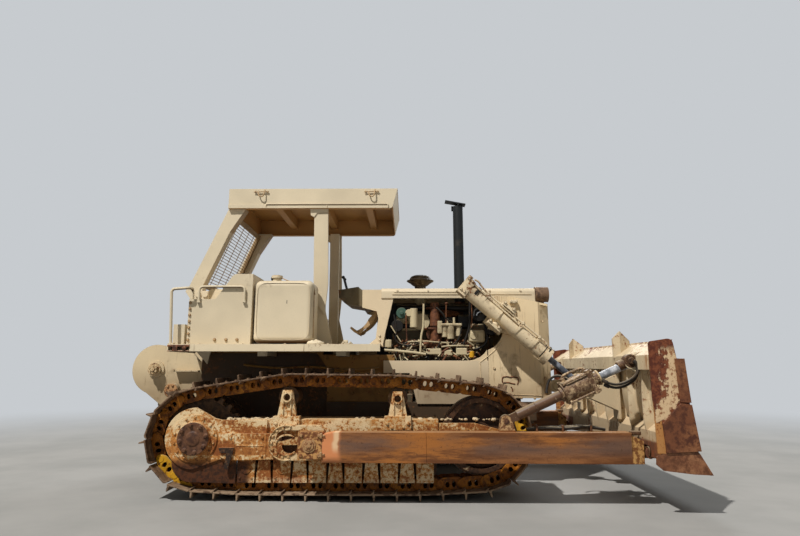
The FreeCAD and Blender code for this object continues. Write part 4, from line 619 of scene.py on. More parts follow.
# Tracks: shoes with a grouser near one end, on two rows of links with a pair of windows each.
# The belt runs round the same circles as the part's own loop.
belt = {
    "circles": ((-1.790, 0.554, 0.400), (-0.92504, 0.932, 0.152), (0.13413, 0.919, 0.152), (0.930, 0.572, 0.418),
                (0.391, 0.2774, 0.1534), (-1.294, 0.2774, 0.1534)),
    "count": 38, "phase": 0.126, "sideY": 0.9905, "shoeWidth": 0.508, "linkGap": 0.075, "linkThick": 0.042,
    "plateLow": 0.058, "plateHigh": 0.072, "grouserTop": 0.124, "grouserAt": 0.4, "windowX": 0.031,
    "linkPitch": 0.2112,
    "yellowSpots": ((-2.10, 0.32), (-1.98, 0.18), (1.37, 0.63), (1.34, 0.38)),
}


def beltPins():
    circles = belt["circles"]
    leans = []
    for (xa, za, ra), (xb, zb, rb) in zip(circles, circles[1:] + circles[:1]):
        rise = math.asin((rb - ra) / math.hypot(xb - xa, zb - za))
        leans.append(math.atan2(zb - za, xb - xa) + math.pi / 2 + rise)
    runs = []
    for k, (x, z, r) in enumerate(circles):
        first, last = leans[k - 1], leans[k]
        while last > first:
            last -= 2 * math.pi
        runs.append((r * (first - last), lambda s, x=x, z=z, r=r, first=first: (
            x + r * math.cos(first - s / r), z + r * math.sin(first - s / r))))
        xn, zn, rn = circles[(k + 1) % len(circles)]
        a = Vector((x + r * math.cos(last), z + r * math.sin(last)))
        b = Vector((xn + rn * math.cos(last), zn + rn * math.sin(last)))
        runs.append(((b - a).length, lambda s, a=a, b=b: tuple(a + (b - a).normalized() * s)))
    total = sum(run[0] for run in runs)
    pins = []
    for k in range(belt["count"]):
        s = (total * (k + 0.5) / belt["count"] - belt["phase"]) % total
        for length, where in runs:
            if s <= length:
                break
            s -= length
        pins.append(where(s))
    return pins


def shoeShape(pitch):                        # X along the belt, Y across, Z outwards, from the line of the pins
    bm = bmesh.new()
    half = belt["shoeWidth"] / 2
    low, high = belt["plateLow"], belt["plateHigh"]
    rear, front = -pitch / 2, pitch / 2
    plate(bm, ((rear - 0.026, low - 0.020), (rear - 0.020, low - 0.024), (rear + 0.006, low - 0.002),
               (front - 0.004, low),
               (front - 0.004, high), (rear + 0.002, high), (rear - 0.014, high - 0.010)), -half, half, 0.002)
    at, top = belt["grouserAt"] * pitch, belt["grouserTop"]
    plate(bm, ((at - 0.012, high - 0.002), (at + 0.012, high - 0.002), (at + 0.007, top), (at - 0.005, top)),
          -half + 0.001, half - 0.001, 0.003)
    for x in (-0.064, 0.030):
        for y in (-0.126, -0.066, 0.066, 0.126):
            bar(bm, (x, y, high - 0.001), (x, y, high + 0.013), 0.015, sides=6)
    return bm


def linkShape():                             # one side plate, with two oval windows, and its pin boss at each end
    bm = bmesh.new()
    half = 0.012
    outline = [(-0.088, -0.051), (-0.080, -0.055), (0.080, -0.055), (0.088, -0.051)]
    outline += arc(0.100, 0.0, 0.042, -50, 62, 5) + [(0.084, 0.058), (-0.084, 0.058)] + arc(-0.100, 0.0, 0.042, 118,
                                                                                            230, 5)
    edges = []
    for loop in (outline, arc(-belt["windowX"], 0.008, 0.0205, 0, 330, 11, 1.35),
                 arc(belt["windowX"], 0.008, 0.0205, 0, 330, 11, 1.35)):
        corners = [bm.verts.new((x, -half, z)) for x, z in loop]
        edges += [bm.edges.new(pair) for pair in zip(corners, corners[1:] + corners[:1])]
    bmesh.ops.triangle_fill(bm, use_beauty=True, edges=edges)
    made = bmesh.ops.extrude_face_region(bm, geom=bm.faces[:])["geom"]
    bmesh.ops.translate(bm, verts=[v for v in made if isinstance(v, bmesh.types.BMVert)], vec=(0, half * 2, 0))
    for s in (-1, 1):
        bar(bm, (s * 0.100, -half - 0.003, 0), (s * 0.100, half + 0.003, 0), 0.036, sides=14, bevel=0.003)
    for v in bm.verts:                       # the front half stands out past the next link's rear half
        v.co.y += 0.0085 * max(-1.0, min(1.0, v.co.x / 0.04))
    bmesh.ops.recalc_face_normals(bm, faces=bm.faces)
    return bm


def addCopy(bm, shape, place):
    mesh = bpy.data.meshes.new("copy")
    shape.to_mesh(mesh)
    mesh.transform(place)
    bm.from_mesh(mesh)
    bpy.data.meshes.remove(mesh)


def makeTracks():
    pins = beltPins()
    spans = list(zip(pins, pins[1:] + pins[:1]))
    yellowSpans = [min(range(len(spans)), key=lambda k: math.dist(spot, [(a + b) / 2 for a, b in zip(*spans[k])]))
                   for spot in belt["yellowSpots"]]
    link = linkShape()
    out = belt["linkGap"] + belt["linkThick"]
    for side, name in ((-1, "trackRight"), (1, "trackLeft")):
        shoes, links, yellow = bmesh.new(), bmesh.new(), bmesh.new()
        y = side * belt["sideY"]
        for k, ((xa, za), (xb, zb)) in enumerate(spans):
            length = math.hypot(xb - xa, zb - za)
            turn = Matrix.Rotation(-math.atan2(zb - za, xb - xa), 4, "Y")
            mid = Matrix.Translation(((xa + xb) / 2, y, (za + zb) / 2))
            shoe = shoeShape(length)
            loose = Matrix.Translation((random.uniform(-0.001, 0.001), 0, -random.uniform(0, 0.0015)))
            addCopy(shoes, shoe, mid @ turn @ loose)
            shoe.free()
            row = yellow if k in yellowSpans else links
            for s in (-1, 1):
                longer = Matrix.Diagonal((length / belt["linkPitch"], 1, 1, 1))
                across = Matrix.Translation((0, s * (belt["linkGap"] + belt["linkThick"] / 2), 0))
                addCopy(row, link, mid @ turn @ longer @ across @ Matrix.Diagonal((1, s, 1, 1)))
            bar(links, (xa, y - belt["linkGap"], za), (xa, y + belt["linkGap"], za), 0.034, sides=14)
            bar(links, (xa, y - out - 0.001, za), (xa, y + out + 0.001, za), 0.021, sides=12, bevel=0.003)
        for part, bm, finish in (("Shoes", shoes, "shoes"), ("Links", links, "links"),
                                 ("MasterLinks", yellow, "yellow")):
            finishPiece(bm, name + part, finish, "chassis", ["tracks"])
    link.free()


makeTracks()
print("tracks made")


# Final drives: the cap of each hub with its lobed bolts, and the rings of bolts round it
hub = {"x": -1.790, "z": 0.554, "capFace": 1.252, "capRadius": 0.150, "boltRing": 0.126, "bolts": 8,
       "drumFace": 1.2195, "drumRing": 0.190, "drumBolts": 14}


def makeHubs():
    bm = bmesh.new()
    x, z, face = hub["x"], hub["z"], -hub["capFace"]
    bar(bm, (x, face + 0.004, z), (x, face - 0.008, z), hub["capRadius"], sides=40, bevel=0.004)
    bar(bm, (x, face, z), (x, face - 0.016, z), 0.078, sides=32, tip=0.062, bevel=0.004)
    for u, v in ring(x, z, hub["boltRing"], hub["bolts"], 90 / hub["bolts"]):
        bar(bm, (u, face + 0.004, v), (u, face - 0.012, v), 0.025, sides=18, bevel=0.004)
        hexBolt(bm, (u, face - 0.012, v), 0.016, 0.015)
    onBothSides(bm)
    finishPiece(bm, "hubCaps", "hub")
    bm = bmesh.new()
    for u, v in ring(x, z, hub["drumRing"], hub["drumBolts"], 180 / hub["drumBolts"]):
        hexBolt(bm, (u, -hub["drumFace"], v), 0.011, 0.010)
    onBothSides(bm)
    finishPiece(bm, "hubDrumBolts", "frame")


# Track frames: bolts, seams, caps of the rollers and what has dried on top
undercarriage = {
    "ringCentre": (-0.917, 0.520), "ringRadius": 0.132, "ringFace": 1.2505, "ringTurns": (75, 285, 9),
    "rimTurns": (70, 290, 28), "pocket": (-0.905, 0.500),
    "rollers": (-1.294, -0.957, -0.620, -0.283, 0.054, 0.391), "rollerZ": 0.2774, "guardFace": 1.1755,
    "pedestals": (-0.925, 0.134), "footFace": 1.2055,
    "sillSeams": ((-1.105, 0.366, 0.594), (-1.405, 0.366, 0.594)), "sillFace": 1.2295,
    "lumps": 90, "lumpRows": ((-0.30, 1.16, -1.165, -1.02), (-1.50, -1.06, -1.165, -1.04)),
}


def makeUndercarriage():
    s = undercarriage
    bm = bmesh.new()
    first, last, count = s["ringTurns"]
    for u, v in arc(*s["ringCentre"], s["ringRadius"], first, last, count - 1):
        hexBolt(bm, (u, -s["ringFace"], v), 0.013, 0.012)
    u, v = s["ringCentre"]
    rim = arc(u, v, s["ringRadius"] + 0.030, *s["rimTurns"]) + arc(u, v, s["ringRadius"] + 0.016,
                                                                   *s["rimTurns"])[::-1]
    plate(bm, rim, -s["ringFace"] - 0.012, -s["ringFace"] + 0.002, 0.003)
    u, v = s["pocket"]
    rim = arc(u, v, 0.112, 50, 320, 24, 0.88) + arc(u, v, 0.096, 50, 320, 24, 0.86)[::-1]
    plate(bm, rim, -s["ringFace"] - 0.010, -s["ringFace"] + 0.002, 0.003)
    for x in s["rollers"]:
        z, face = s["rollerZ"], -s["guardFace"]
        bar(bm, (x, face, z), (x, face - 0.006, z), 0.047, sides=20, bevel=0.002)
        for u in (-0.062, 0.062):
            hexBolt(bm, (x + u, face, z + 0.052), 0.011, 0.012)
            hexBolt(bm, (x + u * 0.9, face, z - 0.082), 0.009, 0.010)
    for x in s["pedestals"]:
        for u in (-0.098, 0.098):
            hexBolt(bm, (x + u, -s["footFace"], 0.690), 0.014, 0.013)
            hexBolt(bm, (x + u * 0.55, -s["footFace"], 0.652), 0.011, 0.011)
    for x, low, high in s["sillSeams"]:
        bar(bm, (x, -s["sillFace"], low), (x, -s["sillFace"], high), 0.005, sides=8)
        for z in (low + 0.035, high - 0.030):
            hexBolt(bm, (x - 0.035, -s["sillFace"], z), 0.012, 0.011)
    bar(bm, (-1.385, -s["sillFace"], 0.489), (-1.125, -s["sillFace"], 0.489), 0.004, sides=8)
    onBothSides(bm)
    finishPiece(bm, "undercarriageBolts", "frame")
    bm = bmesh.new()
    for side in (-1, 1):
        for x0, x1, y0, y1 in s["lumpRows"]:
            for k in range(s["lumps"] // 2):
                spot = (random.uniform(x0, x1), -side * random.uniform(y0, y1), 0.722)
                size = random.uniform(0.008, 0.030)
                made = bmesh.ops.create_icosphere(bm, subdivisions=2, radius=size)
                for v in made["verts"]:
                    v.co *= random.uniform(0.82, 1.12)
                    v.co.z *= random.uniform(0.60, 0.70)
                    v.co += Vector(spot)
    finishPiece(bm, "driedMud", "mud", smooth=60)


# Push arms: seams, the bolted caps of the ball joints with their lugs, and the nuts of the front eyes
armTrim = {"face": 1.470, "seams": (0.393, 2.236), "low": 0.368, "high": 0.632, "capX": (-0.767, -0.544),
           "capZ": (0.402, 0.638),
           "capFace": 1.458, "eye": (2.400, 0.460), "eyeFace": 1.462, "lugs": (0.445, 0.606),
           "eyeDiscs": ((2.382, 0.046), (2.396, 0.056), (2.412, 0.050), (2.428, 0.058), (2.444, 0.048)),
           "bladeEnd": ((2.328, 0.965), (2.405, 0.965), (2.405, 0.500), (2.336, 0.500)),
           "bladeEndY": (-1.814, -1.800)}


def makeArmTrim():
    s = armTrim
    bm = bmesh.new()
    for x in s["seams"]:
        bar(bm, (x, -s["face"], s["low"]), (x, -s["face"], s["high"]), 0.004, sides=8)
    onBothSides(bm)
    finishPiece(bm, "armSeams", "arm", "dozer")
    bm = bmesh.new()
    x, z = sum(s["capX"]) / 2 - 0.01, sum(s["capZ"]) / 2
    for radius, depth in ((0.066, 0.006), (0.046, 0.013), (0.024, 0.020)):
        bar(bm, (x, -s["capFace"] + 0.002, z), (x, -s["capFace"] - depth, z), radius, sides=28, bevel=0.003)
    for u in (s["capX"][0] + 0.030, s["capX"][1] - 0.030):
        for v in (s["capZ"][0] + 0.030, s["capZ"][1] - 0.030):
            hexBolt(bm, (u, -s["capFace"], v), 0.015, 0.015)
    for v in s["lugs"]:
        block(bm, (-0.566, -s["capFace"] - 0.030, v - 0.022), (-0.542, -s["capFace"] + 0.002, v + 0.022), 0.004)
        bar(bm, (-0.570, -s["capFace"] - 0.016, v), (-0.520, -s["capFace"] - 0.016, v), 0.009, sides=6)
    onBothSides(bm)
    finishPiece(bm, "armCaps", "cap", "dozer")
    bm = bmesh.new()
    x, z = s["eye"]
    for radius, depth in ((0.040, 0.006), (0.027, 0.020), (0.014, 0.028)):
        bar(bm, (x, -s["eyeFace"] + 0.030, z), (x, -s["eyeFace"] - depth, z), radius,
            sides=6 if radius < 0.03 else 24,
            bevel=0.002)
    for reach, radius in s["eyeDiscs"]:
        bar(bm, (reach - 0.006, -s["eyeFace"], z + 0.014), (reach + 0.008, -s["eyeFace"], z + 0.014), radius,
            sides=20, bevel=0.003)
    block(bm, (2.262, -s["eyeFace"] - 0.002, 0.392), (2.300, -s["eyeFace"] + 0.02, 0.600), 0.006)
    block(bm, (2.240, -s["eyeFace"] + 0.002, 0.612), (2.335, -s["eyeFace"] + 0.060, 0.650), 0.008)
    onBothSides(bm)
    finishPiece(bm, "armEyeNuts", "eye", "dozer")
    bm = bmesh.new()
    plate(bm, s["bladeEnd"], *s["bladeEndY"], 0.002)
    onBothSides(bm)
    finishPiece(bm, "bladeEndEdges", "edgeRust", "dozer")


# Canopy: lashing hooks, the rail under the side of the roof, and the screen behind the driver
canopyTrim = {
    "sideY": 0.7505, "hooks": (-1.370, -0.160), "hookZ": 3.090, "railY": 0.7625, "railZ": 2.958,
              "railX": (-1.315, 0.020),
    "railSeam": -0.647,
    "screenFoot": (-2.045, 2.075), "screenHalf": 0.5946, "screenLean": math.atan2(0.364, 0.902),
              "screenHeight": 0.886,
    "screenFrame": 0.055, "rungStep": 0.034, "uprights": (-0.36, -0.12, 0.12, 0.36),
}


def makeCanopyTrim():
    s = canopyTrim
    bm = bmesh.new()
    for x in s["hooks"]:
        y, z = -s["sideY"], s["hookZ"]
        bar(bm, (x - 0.080, y - 0.014, z + 0.004), (x + 0.080, y - 0.014, z + 0.012), 0.0055, sides=10)
        pipe(bm, ((x - 0.034, y - 0.014, z + 0.006), (x - 0.030, y - 0.030, z - 0.030),
                  (x - 0.010, y - 0.034, z - 0.050),
                  (x + 0.014, y - 0.036, z - 0.056), (x + 0.034, y - 0.034, z - 0.030),
                  (x + 0.038, y - 0.014, z + 0.030)), 0.0065)
        for u in (-0.066, 0.066):
            block(bm, (x + u - 0.006, y - 0.018, z - 0.002), (x + u + 0.006, y + 0.002, z + 0.018), 0.002)
    onBothSides(bm)
    finishPiece(bm, "canopyHooks", "tan")
    bm = bmesh.new()
    y, z = -s["railY"], s["railZ"]
    x0, x1 = s["railX"]
    pipe(bm, ((x0, y + 0.004, z - 0.042), (x0, y - 0.001, z - 0.008), (x0 + 0.012, y - 0.002, z),
              (x0 + 0.06, y - 0.002, z),
              (x1 - 0.06, y - 0.002, z), (x1 - 0.012, y - 0.002, z), (x1, y - 0.001, z - 0.008),
              (x1, y + 0.004, z - 0.042)), 0.006)
    bar(bm, (s["railSeam"], y, z + 0.006), (s["railSeam"], y, z - 0.044), 0.005, sides=8)
    onBothSides(bm)
    finishPiece(bm, "canopyRails", "canopy")
    bm = bmesh.new()
    half, tall, edge = s["screenHalf"], s["screenHeight"], s["screenFrame"]
    for low, high in (((0, -half, 0), (0.040, -half + edge, tall)), ((0, half - edge, 0), (0.040, half, tall)),
                      ((0, -half + edge, 0), (0.040, half - edge, edge)),
                      ((0, -half + edge, tall - edge), (0.040, half - edge, tall))):
        block(bm, low, high, 0.003)
    z = edge + s["rungStep"]
    while z < tall - edge:
        bar(bm, (0.020, -half + edge - 0.01, z), (0.020, half - edge + 0.01, z), 0.0040, sides=8)
        z += s["rungStep"]
    for y in s["uprights"]:
        bar(bm, (0.026, y, edge - 0.01), (0.026, y, tall - edge + 0.01), 0.004, sides=8)
    place = Matrix.Translation((s["screenFoot"][0], 0, s["screenFoot"][1])) @ Matrix.Rotation(s["screenLean"], 4,
                                                                                              "Y")
    bmesh.ops.transform(bm, matrix=place, verts=bm.verts)
    finishPiece(bm, "rearScreenMesh", "screen", replaced=["rear_screen"])


# Boxes and tanks beside the driver: bolts, weld line, cap, knob and chain
boxTrim = {
    "face": 1.105, "rearBolts": 7, "rearTop": (-1.950, 1.848), "rearFoot": (-1.950, 1.478),
           "footBolts": (-1.685, -1.572, -1.462),
    "footZ": 1.481, "tankFace": 1.150, "tankX": (-1.300, -0.712), "tankZ": (1.445, 2.070), "inset": 0.030,
           "round": 0.085,
    "knob": (-1.165, -0.900), "filler": (-1.500, -0.86), "cap": (-1.130, -0.900),
    "chain": ((-1.090, -0.905, 2.130), (-1.00, -0.95, 2.080), (-0.90, -1.00, 2.076), (-0.80, -1.04, 2.076),
              (-0.735, -1.06, 2.055), (-0.708, -1.07, 1.99), (-0.703, -1.08, 1.93)),
}


def makeBoxTrim():
    s = boxTrim
    bm = bmesh.new()
    for k in range(s["rearBolts"]):
        share = k / (s["rearBolts"] - 1)
        x = s["rearTop"][0] + (s["rearFoot"][0] - s["rearTop"][0]) * share
        z = s["rearTop"][1] + (s["rearFoot"][1] - s["rearTop"][1]) * share
        hexBolt(bm, (x, -s["face"], z), 0.012, 0.014)
    for x in s["footBolts"]:
        hexBolt(bm, (x, -s["face"], s["footZ"]), 0.013, 0.013)
    onBothSides(bm)
    finishPiece(bm, "sideBoxBolts", "tan")
    bm = bmesh.new()
    x0, x1 = s["tankX"][0] + s["inset"], s["tankX"][1] - s["inset"]
    z0, z1, r = s["tankZ"][0] + s["inset"], s["tankZ"][1] - s["inset"], s["round"]
    path = arc(x1 - r, z1 - r, r, 0, 90, 3) + arc(x0 + r, z1 - r, r, 90, 180, 3)
    path += arc(x0 + r, z0 + r, r, 180, 270, 3) + arc(x1 - r, z0 + r, r, 270, 360, 3)
    pipe(bm, [(x, -s["tankFace"] + 0.002, z) for x, z in path] + [(x1, -s["tankFace"] + 0.002, z1 - r)], 0.003,
         sides=2)
    finishPiece(bm, "tankSeam", "fender")
    bm = bmesh.new()
    bar(bm, (*s["knob"], 2.066), (*s["knob"], 2.104), 0.014, sides=14)
    made = bmesh.ops.create_uvsphere(bm, u_segments=16, v_segments=10, radius=0.030)
    for v in made["verts"]:
        v.co += Vector((*s["knob"], 2.118))
    bar(bm, (*s["filler"], 2.134), (*s["filler"], 2.162), 0.036, sides=20, bevel=0.004)
    bar(bm, (*s["filler"], 2.160), (*s["filler"], 2.178), 0.022, sides=8, bevel=0.003)
    block(bm, (-0.974, -s["tankFace"] - 0.0015, 1.833), (-0.968, -s["tankFace"] + 0.004, 1.868), 0.001)
    finishPiece(bm, "tankKnobs", "black")
    bm = bmesh.new()
    bar(bm, (*s["cap"], 2.140), (*s["cap"], 2.152), 0.040, sides=24, bevel=0.004)
    for spot in ring(*s["cap"], 0.043, 6, 0):
        bar(bm, (*spot, 2.120), (*spot, 2.150), 0.009, sides=8)
    pipe(bm, s["chain"], 0.0045)
    block(bm, (-0.7125, -1.10, 1.50), (-0.7085, -1.05, 1.96), 0.001)
    finishPiece(bm, "tankCapAndChain", "tan")


# Deck: what lies and sticks on it, the latch, and the rusty end of its channel
deckTrim = {
    "edgeY": 1.245, "top": 1.433, "lump": (0.086, 0.045, 0.034), "lumpX": -0.668,
            "edgeBolts": (-1.80, -1.38, -0.96, -0.54, -0.12),
    "sideBolts": ((-0.64, -0.36, -0.08), (0.94, 1.14, 1.31)),
    "floorPipes": ((((-1.55, -0.452, 1.24), (-1.20, -0.458, 1.19), (-0.80, -0.452, 1.23), (-0.40, -0.450, 1.16),
                     (-0.08, -0.446, 1.20)), 0.013),
                   (((-1.30, -0.452, 1.02), (-1.00, -0.458, 1.06), (-0.60, -0.452, 1.03), (-0.30, -0.448, 1.07)),
                    0.010)),
}


def makeDeckTrim():
    y, top = -deckTrim["edgeY"], deckTrim["top"]
    bm = bmesh.new()
    made = bmesh.ops.create_icosphere(bm, subdivisions=3, radius=1.0)
    for v in made["verts"]:
        wave = 1 + 0.34 * math.sin(v.co.x * 6 + 1) * math.cos(v.co.y * 5) + 0.16 * math.sin(v.co.x * 15)
        wide, deep, tall = deckTrim["lump"]
        v.co = Vector((v.co.x * wide, v.co.y * deep, max(v.co.z, -0.2) * tall * wave))
        v.co += Vector((deckTrim["lumpX"], y + 0.052, top + 0.006))
    block(bm, (-0.415, y + 0.010, top - 0.001), (-0.305, y + 0.085, top + 0.010), 0.003)
    block(bm, (-0.395, y + 0.030, top + 0.008), (-0.350, y + 0.060, top + 0.040), 0.006)
    for x in (-0.395, -0.325):
        hexBolt(bm, (x, y + 0.022, top + 0.009), 0.012, 0.014, (0, 0, 1))
    for x in deckTrim["edgeBolts"]:
        hexBolt(bm, (x, y + 0.028, top - 0.001), 0.010, 0.009, (0, 0, 1))
    onBothSides(bm)
    finishPiece(bm, "deckOddments", "deckEdge", smooth=40)
    bm = bmesh.new()
    block(bm, (-2.098, y - 0.0012, 1.364), (-1.882, y + 0.003, 1.372), 0.001)
    block(bm, (-2.098, y - 0.0012, 1.408), (-1.882, y + 0.003, 1.426), 0.001)
    block(bm, (-2.050, y - 0.002, 1.366), (-2.000, y + 0.004, 1.412), 0.003)
    hexBolt(bm, (-1.935, y + 0.001, 1.392), 0.016, 0.012)
    onBothSides(bm)
    finishPiece(bm, "deckChannelRust", "rustyIron")
    bm = bmesh.new()                         # side plates of the transmission under the floor
    plate(bm, ((-0.690, 0.800), (-0.690, 1.345), (0.090, 1.345), (0.090, 0.800)), -0.436, -0.430, 0.002)
    plate(bm, ((-1.960, 1.250), (-1.960, 1.396), (-0.690, 1.396), (-0.690, 1.250)), -0.428, -0.422, 0.002)
    plate(bm, ((-0.690, 0.600), (-0.690, 0.800), (0.300, 0.800), (0.300, 0.600)), -0.300, -0.294, 0.002)
    for x in deckTrim["sideBolts"][0]:
        for z in deckTrim["sideBolts"][1]:
            hexBolt(bm, (x, -0.436, z), 0.012, 0.010)
    for path, radius in deckTrim["floorPipes"]:
        pipe(bm, path, radius)
    onBothSides(bm)
    finishPiece(bm, "transmissionSides", "case")


# Winch: nut of the drum shaft, brake boss and side bolts
winchTrim = {"shaft": (-2.518, 1.189), "face": 0.460, "brake": (-2.318, 0.968), "brakeFace": 0.470}


def makeWinchTrim():
    s = winchTrim
    bm = bmesh.new()
    x, z = s["shaft"]
    bar(bm, (x, -s["face"], z), (x, -s["face"] - 0.010, z), 0.070, sides=28, bevel=0.003)
    bar(bm, (x, -s["face"] - 0.008, z), (x, -s["face"] - 0.044, z), 0.052, sides=6, bevel=0.006)
    for u, v in ring(x, z, 0.037, 6, 30):
        bar(bm, (u, -s["face"] - 0.040, v), (u, -s["face"] - 0.054, v), 0.013, sides=8)
    bar(bm, (x, -s["face"] - 0.040, z), (x, -s["face"] - 0.062, z), 0.022, sides=14, bevel=0.003)
    hexBolt(bm, (-2.300, -0.472, 1.182), 0.010, 0.010)
    onBothSides(bm)
    finishPiece(bm, "winchNuts", "mottled")
    bm = bmesh.new()
    x, z = s["brake"]
    bar(bm, (x, -s["brakeFace"] + 0.002, z), (x, -s["brakeFace"] - 0.010, z), 0.072, sides=28, bevel=0.003)
    for u, v in ring(x, z, 0.052, 6, 10):
        hexBolt(bm, (u, -s["brakeFace"] - 0.010, v), 0.011, 0.011)
    onBothSides(bm)
    finishPiece(bm, "winchBrakeCaps", "cap")


# Engine bay: what crowds each side of the engine, and a dark block behind it, which stands for the engine's far
# side and paints the shade deep in the bay
bay = {
    "inside": -0.445,
    "oily": (
        # Painted shade: this dark block down the middle darkens the depth of the bay
        ("block", (-0.120, -0.060, 1.300), (1.170, 0.000, 1.945), 0.010),
        ("block", (0.080, -0.200, 1.640), (0.400, -0.020, 1.700), 0.014),
        ("block", (0.430, -0.190, 1.640), (0.760, -0.020, 1.800), 0.020),
        ("block", (0.790, -0.190, 1.640), (1.120, -0.020, 1.800), 0.020),
        ("bar", (0.100, -0.130, 1.880), (1.150, -0.130, 1.880), 0.040),
        ("bar", (0.117, -0.330, 1.660), (0.117, -0.430, 1.660), 0.066),
        ("bar", (1.030, -0.300, 1.795), (1.030, -0.360, 1.795), 0.085),
        ("bar", (1.150, -0.360, 1.610), (1.150, -0.430, 1.610), 0.055),
        ("pipe", ((0.919, -0.44, 1.930), (0.915, -0.44, 1.700), (0.900, -0.44, 1.600), (0.842, -0.44, 1.462)),
         0.013),
        ("pipe", ((0.824, -0.42, 1.640), (0.810, -0.44, 1.550), (0.760, -0.44, 1.470), (0.690, -0.43, 1.430)),
         0.008),
        ("pipe", ((0.08, -0.42, 1.78), (0.12, -0.44, 1.60), (0.08, -0.44, 1.50), (0.20, -0.44, 1.43),
                  (0.34, -0.43, 1.46)), 0.010),
        ("pipe", ((0.55, -0.40, 1.86), (0.62, -0.42, 1.80), (0.66, -0.42, 1.72), (0.72, -0.40, 1.70)), 0.010),
        ("pipe", ((1.10, -0.40, 1.90), (1.06, -0.42, 1.70), (1.12, -0.42, 1.52), (1.05, -0.42, 1.42),
                  (0.95, -0.42, 1.40)), 0.012),
    ),
    "engineGreen": (
        ("bar", (0.165, -0.335, 1.800), (0.165, -0.415, 1.800), 0.060),
        ("bar", (0.165, -0.410, 1.800), (0.165, -0.440, 1.800), 0.022),
    ),
    "engineCream": (
        ("bar", (0.300, -0.410, 1.850), (0.300, -0.410, 1.640), 0.042),
        ("bar", (0.246, -0.350, 1.800), (0.246, -0.435, 1.800), 0.040),
        ("block", (0.600, -0.440, 1.655), (0.830, -0.350, 1.685), 0.008),
        ("bar", (0.640, -0.395, 1.660), (0.640, -0.395, 1.535), 0.033),
        ("bar", (0.706, -0.402, 1.660), (0.706, -0.402, 1.515), 0.040),
        ("bar", (0.792, -0.395, 1.660), (0.792, -0.395, 1.545), 0.030),
        ("bar", (0.744, -0.410, 1.750), (0.744, -0.410, 1.680), 0.013),
        ("bar", (0.670, -0.410, 1.735), (0.670, -0.410, 1.680), 0.010),
        ("block", (0.905, -0.440, 1.480), (1.075, -0.340, 1.612), 0.014),
        ("bar", (0.955, -0.435, 1.548), (0.955, -0.449, 1.548), 0.040),
        ("block", (1.000, -0.446, 1.500), (1.060, -0.430, 1.590), 0.005),
        ("block", (0.433, -0.444, 1.345), (0.598, -0.370, 1.412), 0.008),
        ("block", (0.628, -0.444, 1.335), (0.720, -0.370, 1.398), 0.008),
        ("block", (0.760, -0.444, 1.340), (0.880, -0.370, 1.418), 0.008),
        ("block", (-0.020, -0.430, 1.420), (0.055, -0.360, 1.508), 0.008),
        ("block", (0.560, -0.430, 1.575), (0.612, -0.380, 1.712), 0.006),
        ("pipe", ((0.410, -0.44, 1.900), (0.405, -0.44, 1.700), (0.400, -0.44, 1.620), (0.375, -0.444, 1.550),
                  (0.370, -0.444, 1.360)), 0.012),
        ("pipe", ((-0.025, -0.43, 1.395), (0.200, -0.444, 1.385), (0.430, -0.444, 1.350)), 0.015),
        ("pipe", ((0.046, -0.43, 1.660), (0.100, -0.44, 1.570), (0.157, -0.44, 1.484)), 0.006),
        ("pipe", ((0.224, -0.42, 1.484), (0.400, -0.44, 1.495), (0.560, -0.43, 1.478), (0.688, -0.42, 1.473)),
         0.008),
        ("pipe", ((0.600, -0.43, 1.43), (0.760, -0.444, 1.450), (0.900, -0.43, 1.440)), 0.009),
    ),
    "rustyIron": (
        ("pipe", ((0.213, -0.43, 1.800), (0.215, -0.43, 1.650), (0.224, -0.43, 1.500)), 0.007),
        ("pipe", ((0.660, -0.42, 1.900), (0.655, -0.42, 1.690)), 0.006),
        ("ball", (0.660, -0.42, 1.905), 0.017),
        ("bar", (0.497, -0.320, 1.870), (0.497, -0.320, 1.850), 0.066),
        ("bar", (0.497, -0.320, 1.640), (0.497, -0.320, 1.620), 0.082),
        ("pipe", ((0.93, -0.43, 1.92), (0.95, -0.44, 1.80), (0.93, -0.44, 1.66)), 0.007),
    ),
    "chrome": (
        ("pipe", ((0.970, -0.365, 1.770), (0.965, -0.365, 1.830), (1.020, -0.365, 1.860), (1.070, -0.365, 1.840)),
         0.008),
        ("pipe", ((1.000, -0.368, 1.775), (1.010, -0.368, 1.815), (1.050, -0.368, 1.815)), 0.007),
    ),
    "yellow": (
        ("bar", (0.928, -0.425, 1.385), (0.928, -0.425, 1.315), 0.030),
    ),
    "crumbs": 190,
    "crumbBox": ((0.00, 1.02), (-0.444, -0.385), (1.300, 1.480)),
    "studs": (0.22, 0.93, 9),
}


